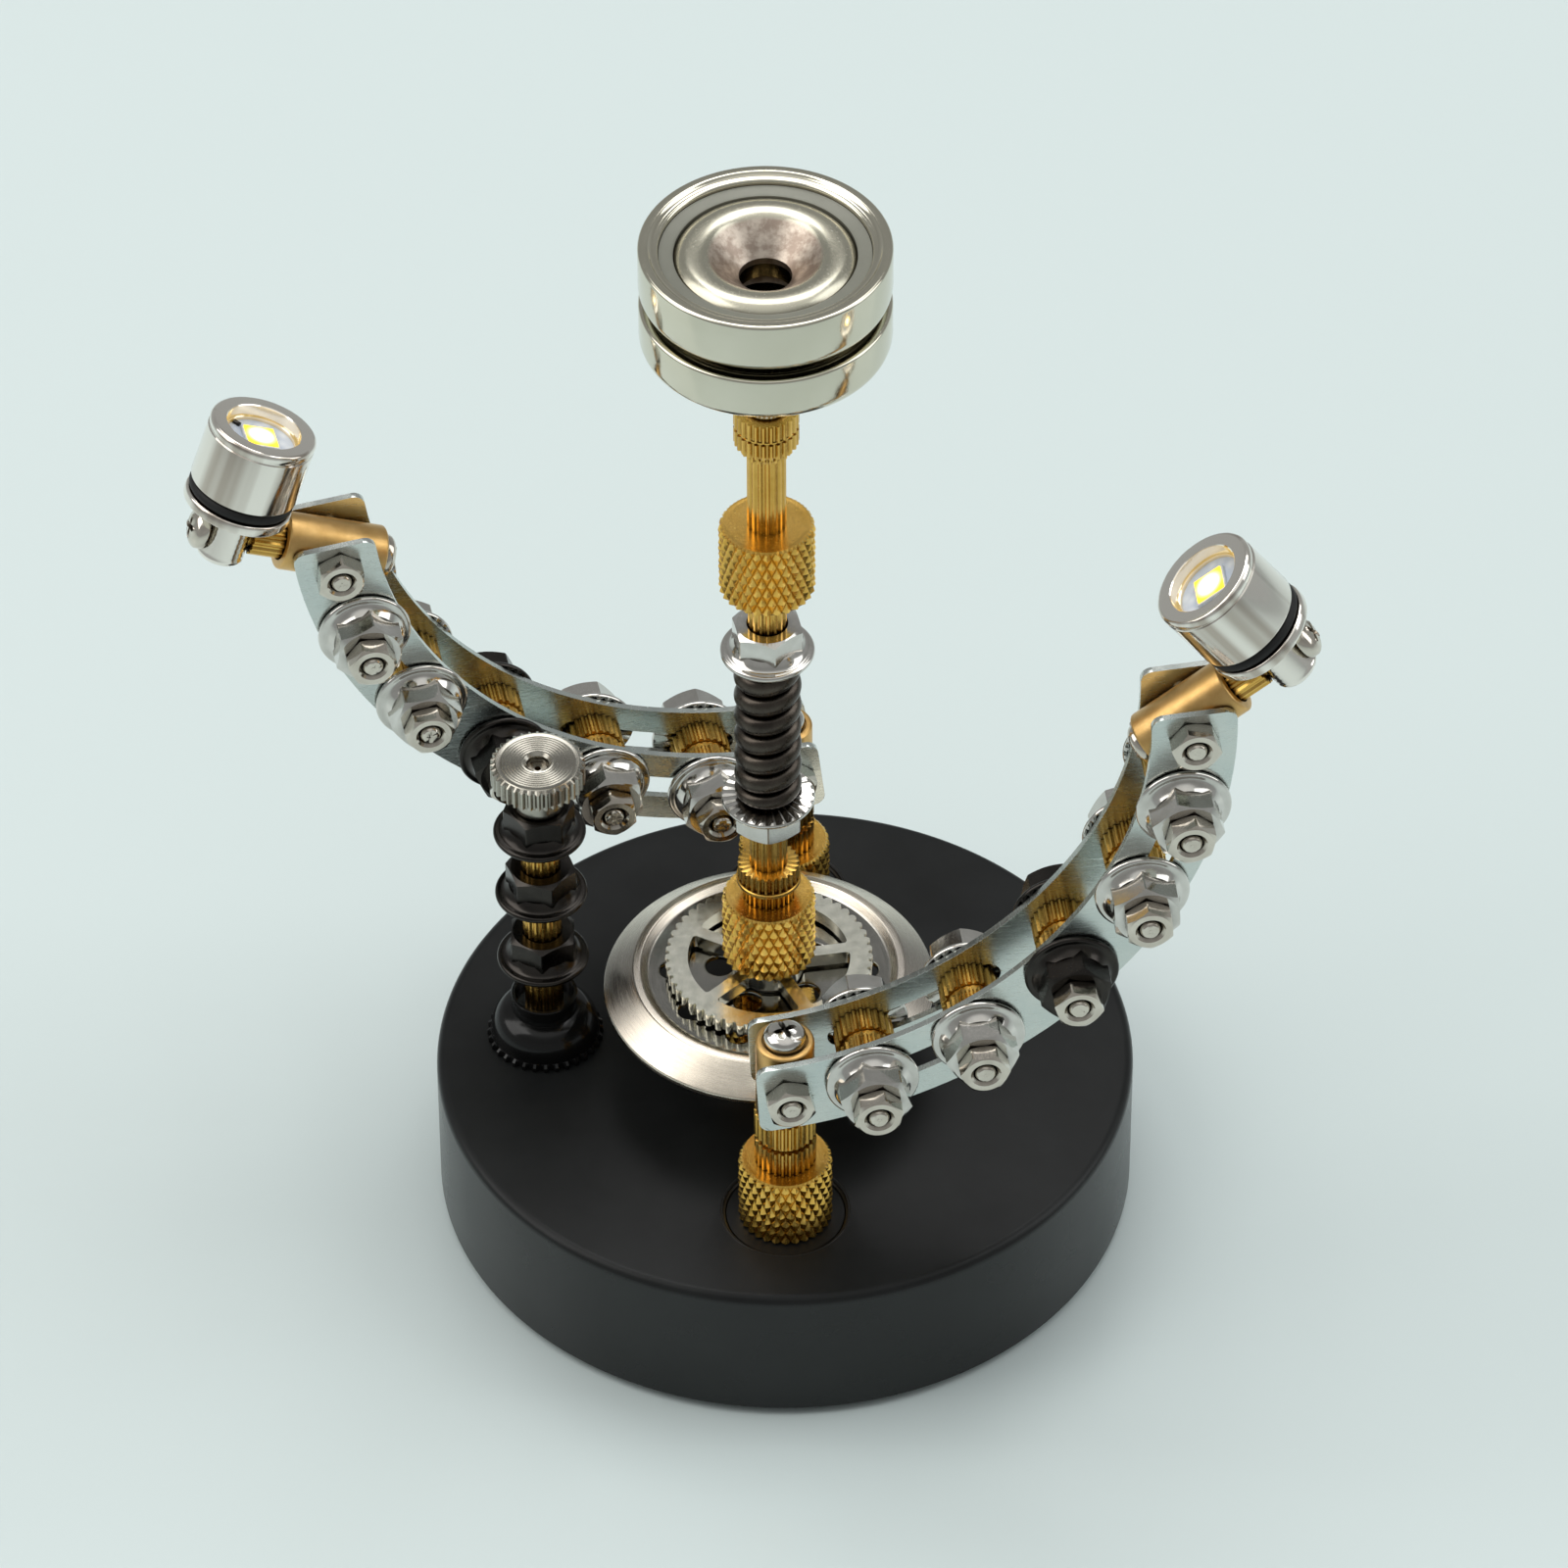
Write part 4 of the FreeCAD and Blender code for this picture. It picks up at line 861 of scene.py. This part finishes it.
def build_posts():
    piece("knurled_nut_set", on_islands("knurled_nuts", knurled_nut), KNURL_BRASS, "stand", ["knurled_nuts"],
          sharp=20)
    piece("splined_insert_set", on_islands("splined_inserts", splined_insert), BRASS, "stand",
          ["splined_inserts"], sharp=20)
    cad_finish("post_studs", SMOOTH_BRASS, 0)


def insert_tiers(radius, low, high):
    """Tiers of one splined insert; the column's two collars stand high and are stepped."""
    flute = 0.34 * MM
    groove = 0.35 * MM
    if low > 100 * MM:          # top collar
        return [(radius - 0.8 * MM, low, low + 1.3 * MM, flute),
                (radius, low + 1.3 * MM, low + 3.7 * MM, flute),
                (radius - 0.25 * MM, low + 3.7 * MM, low + 4.0 * MM, 0),
                (radius, low + 4.0 * MM, high, flute)]
    if low > 45 * MM:           # collar over the dish
        return [(radius - 0.8 * MM, low, low + 2.6 * MM, flute),
                (radius, low + 2.6 * MM, low + 3.2 * MM, 0),
                (radius - 0.2 * MM, low + 3.2 * MM, high, flute)]
    split = (low + high) / 2
    return [(radius, low, split - groove, flute), (radius - 0.6 * MM, split - groove, split + groove, 0),
            (radius, split + groove, high, flute)]


def build_column():
    centre = middle("column_rod")
    place = at(centre.x, centre.y)
    low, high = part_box("column_rod")
    rod = fluted([(ROD_RADIUS, low.z, high.z, 0.22 * MM)], 0, 16)
    piece("splined_rod", [rod], BRASS, "stand", ["column_rod"], place, sharp=20)
    nuts = islands("column_flange_nuts")
    lower, upper = nuts[0], nuts[-1]
    forms = flange_nut(at(centre.x, centre.y, lower[1].z) @ flip())
    forms += flange_nut(at(centre.x, centre.y, upper[0].z) @ spin(12))
    piece("column_flange_nut_pair", forms, CHROME, "stand", ["column_flange_nuts"], sharp=24)
    low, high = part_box("spring")
    wire = 1.1 * MM
    coil = coil_form(half_width(low, high) - wire, wire, 1.38 * MM, low.z, high.z, 8)
    piece("coil_spring", [coil], SPRING_STEEL, "stand", ["spring"], place)
    low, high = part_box("magnet_boss")
    radius = half_width(low, high)
    boss = turned([(radius - 0.4 * MM, low.z), (radius, low.z + 0.5 * MM), (radius, high.z - 1.4 * MM),
                   (radius + 0.4 * MM, high.z)], count=64)
    piece("magnet_boss_post", [boss], BRIGHTENED_BOSS_NICKEL, "stand", ["magnet_boss"], place,
          soften=0.12 * MM)


def build_dish():
    cad_finish("dish", DISH_STEEL, 0.2 * MM)
    cad_finish("gear", GALVANISED, 0.28 * MM)
    cad_finish("gear_washer", STEEL)


def build_knob_post():
    centre = middle("knob")
    place = at(centre.x, centre.y)
    piece("serrated_dome", [dome_form()], BLACK_GLOSS, "stand", ["knob_post_dome"], place)
    nuts = []
    for index, box in enumerate(islands("knob_post_nuts")):
        nuts += flange_nut(at(0, 0, box[0].z) @ spin(20 * index))
    piece("black_post_nut_set", nuts, BLACK_OXIDE, "stand", ["knob_post_nuts"], place,
          sharp=24)
    spacers = [fluted([(2.45 * MM, low.z, high.z, 0.22 * MM)], SNUG_BORE, 16)
               for low, high in islands("knob_post_spacers")]
    piece("knob_post_spacer_set", spacers, BRASS, "stand", ["knob_post_spacers"], place, sharp=20)
    build_knob(place)


def dome_form():
    """Round dome on a serrated skirt, with a thin open collar on top."""
    low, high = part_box("knob_post_dome")
    radius = half_width(low, high)
    mouth, collar, body = 3.7 * MM, 4.3 * MM, 6.95 * MM
    lip = 0.12 * MM
    lip_foot = high.z - 0.15 * MM
    mouth_floor = high.z - 1.5 * MM
    crown = high.z - 2.4 * MM
    foot = low.z + 1.1 * MM
    skirt = toothed(radius, 0.5 * MM)
    profile = [(CLEAR_BORE, low.z), (radius - 0.6 * MM, low.z), (skirt, low.z + 0.1 * MM),
               (skirt, low.z + 0.75 * MM), (body + 0.1 * MM, foot), (body, foot)]
    for step in range(1, 15):
        share = step / 14
        reach = collar + (body - collar) * (1 - share ** 2.3) ** 0.6
        profile.append((reach, foot + (crown - foot) * share))
    profile += [(collar, lip_foot), (collar - lip, high.z), (mouth + lip, high.z), (mouth, lip_foot),
                (mouth, mouth_floor), (CLEAR_BORE, mouth_floor)]
    return turned(profile, True, 4 * 32)


def build_knob(place):
    """Thumb knob with a serrated rim, a turned face and a centre hole."""
    low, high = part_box("knob")
    top = high.z - low.z
    radius = half_width(low, high)
    neck = 3.15 * MM
    bore = 1.57 * MM
    bottom = top - 3.3 * MM
    rim = toothed(radius, 0.4 * MM)
    profile = [(bore, 0), (neck - 0.15 * MM, 0), (neck, 0.2 * MM), (neck, bottom),
               (radius - 0.6 * MM, bottom), (rim, bottom + 0.25 * MM), (rim, top - 0.4 * MM),
               (radius - 0.6 * MM, top - 0.08 * MM), (radius - 0.75 * MM, top)]
    profile += grooved_face(top - 0.02 * MM, 4.9 * MM, 0.19 * MM, 0.07 * MM, 16)
    hole = ((1.85, -0.05), (1.45, -0.4), (1.3, -0.8), (1.3, -1.3), (0.9, -1.35), (0.4, -1.25), (0.4, -1.7))
    profile += [(reach * MM, top + drop * MM) for reach, drop in hole]
    profile.append((bore, top - 1.7 * MM))
    piece("thumb_knob", [turned(profile, True, 4 * 36)], TURNED_NICKEL, "knob", ["knob"],
          place @ at(0, 0, low.z), sharp=26)


# ---- pot magnets ----
def cup_form(height):
    """Pot magnet cup on Z = 0 with a stepped rim and a well rounded bottom edge."""
    outer = 15.25 * MM
    inner = 12.8 * MM
    edge = 2.0 * MM
    profile = [(MAGNET_HOLE, 0)] + arc((outer - edge, edge), edge, -90, 0)
    profile += arc((outer - 0.4 * MM, height - 0.4 * MM), 0.4 * MM, 0, 90, 5)
    profile += arc((14.2 * MM, height - 0.35 * MM), 0.35 * MM, 90, 150, 3)
    profile += [(13.6 * MM, height - 0.42 * MM)]
    profile += arc((inner + 0.4 * MM, height - 0.85 * MM), 0.4 * MM, 80, 180, 5)
    profile += [(inner, height - 1.1 * MM), (inner, MAGNET_FLOOR), (MAGNET_HOLE, MAGNET_FLOOR)]
    return turned(profile, True, FINE)


def ring_magnet_form(top):
    """Countersunk ring magnet with a softly domed face."""
    crest = 8.6 * MM
    profile = [(MAGNET_HOLE, MAGNET_FLOOR), (RING_RADIUS, MAGNET_FLOOR)]
    for step in range(13):
        share = 1 - step / 12
        profile.append((crest + (RING_RADIUS - crest) * share, top - 1.1 * MM * share ** 2.6))
    for step in range(1, 9):
        share = step / 8
        profile.append((crest + (SINK_RADIUS - crest) * share, top - 0.45 * MM * share ** 2.2))
    profile += [(MAGNET_HOLE + 0.5 * MM, top - 3.3 * MM), (MAGNET_HOLE, top - 3.8 * MM)]
    return turned(profile, True, FINE)


def build_magnets():
    centre = middle("lower_magnet_cup")
    for name, body in (("lower", "stand"), ("display", "display_magnet")):
        cup_low, cup_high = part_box(name + "_magnet_cup")
        place = at(centre.x, centre.y, cup_low.z)
        piece(name + "_cup", [cup_form(cup_high.z - cup_low.z)], MAGNET, body, [name + "_magnet_cup"],
              place)
        ring_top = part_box(name + "_ring_magnet")[1].z - cup_low.z
        piece(name + "_ring", [ring_magnet_form(ring_top)], RING_PLATING, body, [name + "_ring_magnet"],
              place)
    cad_finish("magnet_screw", DARK_BRASS)
    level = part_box("magnet_potting")[1].z - cup_low.z
    inner, outer = RING_RADIUS + 0.02 * MM, 12.75 * MM
    bottom = MAGNET_FLOOR + 0.1 * MM
    resin = turned([(inner, bottom), (outer, bottom), (outer, level + 0.1 * MM), (12.5 * MM, level),
                    (11.3 * MM, level), (inner, level - 0.15 * MM)], True, FINE)
    piece("display_potting", [resin], POTTING, "display_magnet", ["magnet_potting"], place)


# ---- arms ----
class Arm:
    """Frames of one arm, read from its joints."""

    def __init__(self, side):
        self.side = side
        self.pivot = joint_place(side + "_arm_tilt")
        self.normal = joint_axis(side + "_arm_tilt")
        self.elbow = joint_place(side + "_lamp_tilt")
        chord = self.elbow - self.pivot
        along = chord.normalized()
        out = along.cross(self.normal)
        self.end = degrees(asin(chord.length / 2 / ARC_RADIUS))
        centre = (self.pivot + self.elbow) / 2 - out * (ARC_RADIUS * cos(radians(self.end)))
        self.arc = axes(out, along, self.normal, centre)
        self.nut_side = 1 if self.normal.y < 0 else -1
        lamp_place = joint_place(side + "_lamp_roll")
        lamp_axis = joint_axis(side + "_head_twist")
        reach = joint_axis(side + "_lamp_roll")
        self.bracket = axes(reach, -self.normal, reach.cross(-self.normal), self.elbow)
        self.lamp = axes(reach, lamp_axis.cross(reach), lamp_axis, lamp_place)
        self.reach = (lamp_place - self.elbow).length

    def station(self, angle, offset=0.0, side=1):
        """Frame on the outside of the plates, Z outwards."""
        turn = radians(angle)
        place = at(ARC_RADIUS * cos(turn), ARC_RADIUS * sin(turn), side * offset)
        return place @ (Matrix() if side > 0 else flip())


def build_arm(arm):
    side = arm.side
    body = side + "_arm"
    face = PLATE_GAP / 2 + PLATE_THICKNESS
    outside = face + FLANGE_NUT_HEIGHT
    half = PLATE_GAP / 2
    waist = 0.5 * MM
    flute = 0.3 * MM
    spacer = fluted([(SPACER_RADIUS, -half, -waist, flute), (SPACER_RADIUS - waist, -waist, waist, 0),
                     (SPACER_RADIUS, waist, half, flute)], CLEAR_BORE, 24)
    nickel, black, small, bolts, spacers = [], [], [], [], []
    for index, angle in enumerate(STATION_ANGLES):
        group = black if index == BLACK_STATION else nickel
        for way in (1, -1):
            group += flange_nut(arm.station(angle, face, way) @ spin(angle + 30))
        spacers.append((spacer, arm.station(angle)))
    small_nut = hexagon(SMALL_NUT_FLATS, 0, SMALL_NUT_HEIGHT, BOLT_RADIUS)
    stations = [(angle, outside) for angle in STATION_ANGLES] + [(-arm.end, face), (arm.end, face)]
    for angle, seat in stations:
        nut_face = arm.station(angle, seat, arm.nut_side)
        small.append((small_nut, nut_face @ spin(angle * 3)))
        bolts.append((cut_end(len(bolts), SMALL_NUT_HEIGHT + 0.05 * MM), nut_face))
        shank = turned([(BOLT_RADIUS, -2 * seat), (BOLT_RADIUS, SMALL_NUT_HEIGHT - 1.1 * MM)], count=20)
        bolts.append((shank, nut_face))
        bolts.append((pan_head(), arm.station(angle, seat, -arm.nut_side)))
    for name, forms, material, node, slot, sharp in (
            ("_nickel_flange_nuts", nickel, CHROME, "_arm_flange_nuts", "chrome", 24),
            ("_black_flange_nuts", black, BLACK_OXIDE, "_arm_black_nuts", "black_oxide", 24),
            ("_small_nuts", small, NICKEL, "_arm_hex_nuts", "nickel", 30),
            ("_bolt_set", bolts, NICKEL, "_arm_bolts", "nickel", 30),
            ("_spacer_set", spacers, BRASS, "_arm_spacers", "brass", 20)):
        piece(side + name, forms, material, body, [side + node], arm.arc, sharp=sharp)
    cad_finish(side + "_arm_plates", ZINC, 0.09 * MM)


def pan_head():
    """Domed screw head on Z = 0 with a cross of four lobes cut in its top."""
    count = 48
    radius = PAN_HEAD_RADIUS
    height = PAN_HEAD_HEIGHT

    def cross(index):
        lobe = cos(4 * pi * index / count) ** 2
        return radius * (0.17 + 0.40 * lobe)

    profile = [(radius * 0.9, 0), (radius * 0.97, 0), (radius, 0.2 * MM)]
    for step in range(1, 8):
        turn = radians(82 * step / 7)
        reach = radius * cos(turn) ** 0.8
        if reach > radius * 0.56:
            profile.append((reach, height * 0.35 + height * 0.65 * sin(turn)))
    profile += [(cross, height * 0.98), (lambda index: cross(index) * 0.62, height * 0.42)]
    return turned(profile, count=count)


def barrel_side(low, high):
    """Outer profile of a smooth barrel with slightly rounded ends."""
    edge = 0.35 * MM
    reach = BARREL_RADIUS - edge
    return arc((reach, low + edge), edge, -90, 0, 3) + arc((reach, high - edge), edge, 0, 90, 3)


def build_turret(arm):
    body = arm.side + "_turret"
    low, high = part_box(arm.side + "_base_barrel")
    place = at(arm.pivot.x, arm.pivot.y, high.z)
    bottom = low.z - high.z
    ledge = -0.15 * MM
    profile = [(CLEAR_BORE, bottom)] + barrel_side(bottom, 0)
    profile += [(2.9 * MM, 0), (2.8 * MM, ledge), (CLEAR_BORE, ledge)]
    piece(arm.side + "_pivot_barrel", [turned(profile, True, 64)], SMOOTH_BRASS, body,
          [arm.side + "_base_barrel"], place)
    forms = [pan_head(), turned([(BOLT_RADIUS, -3.0 * MM), (BOLT_RADIUS, 0)], count=24)]
    piece(arm.side + "_barrel_pan_screw", forms, CHROME, body, [arm.side + "_barrel_screw"],
          place @ spin(25), sharp=30)


def build_bracket(arm):
    body = arm.side + "_bracket"
    front = 7.0 * MM
    back = -6.2 * MM
    floor = front - 1.0 * MM
    place = arm.bracket @ Matrix.Rotation(pi / 2, 4, "Y")      # each form's Z along the pin
    profile = [(1.0 * MM, back)] + barrel_side(back, front)
    profile += [(2.6 * MM, front), (2.6 * MM, floor), (2.0 * MM, floor)]
    piece(arm.side + "_elbow_sleeve", [turned(profile, count=64)], SMOOTH_BRASS, body,
          [arm.side + "_elbow_barrel"], place)
    near = arm.reach - 3.0 * MM
    far = arm.reach + 3.05 * MM
    pin = fluted([(ROD_RADIUS, 2.3 * MM, near, 0.26 * MM)], 0, 14)
    spigot = turned([(1.4 * MM, near), (1.4 * MM, far)], count=24)
    piece(arm.side + "_splined_pin", [pin, spigot], BRASS, body, [arm.side + "_lamp_pin"], place,
          sharp=20)
    heads = [(pan_head(), at(0, 0, far) @ spin(20)), (pan_head(), at(0, 0, back) @ flip())]
    piece(arm.side + "_bracket_pan_screws", heads, NICKEL, body, [arm.side + "_bracket_screws"],
          place, sharp=30)


def lamp_tail_form():
    """Ribbed nickel tail that the pin passes through, up to the disc under the rubber ring."""
    neck = 3.0 * MM
    disc = 6.9 * MM
    edge = 0.4 * MM
    profile = [(2.3 * MM, -3.6 * MM), (2.8 * MM, -3.4 * MM), (neck, -3.1 * MM)]
    profile += [(neck - 0.11 * MM * (step % 2), (-2.8 + 0.38 * step) * MM) for step in range(16)]
    profile += [(neck, 3.3 * MM), (3.4 * MM, 3.8 * MM)]
    profile += arc((disc - edge, 4.2 * MM), edge, -90, 0, 4) + arc((disc - edge, 4.9 * MM), edge, 0, 90, 4)
    profile += [(5.0 * MM, 5.3 * MM), (5.0 * MM, 8.6 * MM)]
    return turned(profile)


def lamp_barrel_form():
    """Nickel barrel with a bevelled front ring and a ledge over the board."""
    edge = 0.3 * MM
    step_in = LAMP_RADIUS - 0.12 * MM
    bevel = 0.55 * MM
    inside = 5.1 * MM
    ledge = LAMP_BORE - 0.3 * MM
    profile = [(inside, 6.95 * MM)] + arc((LAMP_RADIUS - edge, 7.25 * MM), edge, -90, 0, 4)
    profile += [(LAMP_RADIUS, LAMP_TOP - 1.45 * MM), (step_in, LAMP_TOP - 1.3 * MM),
                (step_in, LAMP_TOP - 1.15 * MM), (LAMP_RADIUS - 0.05 * MM, LAMP_TOP - 1.05 * MM)]
    profile += arc((LAMP_RADIUS - bevel, LAMP_TOP - bevel), bevel, 0, 90, 6)
    profile += [(LAMP_BORE + 0.15 * MM, LAMP_TOP), (LAMP_BORE, LAMP_TOP - 0.12 * MM),
                (LAMP_BORE, LAMP_TOP - 1.55 * MM), (ledge, LAMP_TOP - 1.6 * MM), (ledge, LAMP_BOARD),
                (inside, LAMP_BOARD)]
    return turned(profile, True)


def build_lamp(arm):
    side = arm.side
    tail = side + "_lamp"
    head = side + "_head"
    piece(side + "_lamp_tail", [lamp_tail_form()], LAMP_NICKEL, tail, [side + "_lamp_cap"],
          arm.lamp)
    seal = turned(arc((5.95 * MM, 6.1 * MM), 0.8 * MM, 0, 336, 14), True)
    piece(side + "_seal_ring", [seal], RUBBER, tail, [side + "_lamp_o_ring"], arm.lamp)
    piece(side + "_lamp_barrel", [lamp_barrel_form()], LIT_NICKEL, head, [side + "_lamp_head"],
          arm.lamp)
    face = arm.lamp @ at(0, 0, LAMP_BOARD)
    board = turned([(4.9 * MM, -1.0 * MM), (4.9 * MM, 0)])
    piece(side + "_lamp_board", [board], BOARD, head, [side + "_led_board"], face)
    chip = box_form(4.4 * MM, 4.4 * MM, 0, 0.5 * MM)
    piece(side + "_diode_frame", [chip], BOARD, head, [], face, soften=0.1 * MM)
    lit = box_form(3.9 * MM, 3.9 * MM, 0.3 * MM, 0.7 * MM)
    piece(side + "_diode_phosphor", [lit], GLOW, head, [side + "_led_chip"], face,
          soften=0.12 * MM)
    resistor = (box_form(1.0 * MM, 0.6 * MM, 0, 0.35 * MM), at(2.5 * MM, -2.9 * MM) @ spin(-45))
    piece(side + "_board_resistor", [resistor], BLACK_GLOSS, head, [], face, soften=0.05 * MM)
    cad_finish(side + "_lamp_cells", STEEL)


def box_form(length, width, low, high):
    x, y = length / 2, width / 2
    corners = [(-x, -y), (x, -y), (x, y), (-x, y)]
    return skin([[Vector((a, b, low)) for a, b in corners], [Vector((a, b, high)) for a, b in corners]])


# ---- the scene ----
add_camera()
add_studio()
add_floor()
build_base()
build_posts()
build_column()
build_dish()
build_knob_post()
build_magnets()
for side_name in SIDES:
    arm_frames = Arm(side_name)
    build_turret(arm_frames)
    build_arm(arm_frames)
    build_bracket(arm_frames)
    build_lamp(arm_frames)
bpy.context.scene.view_settings.view_transform = "Standard"
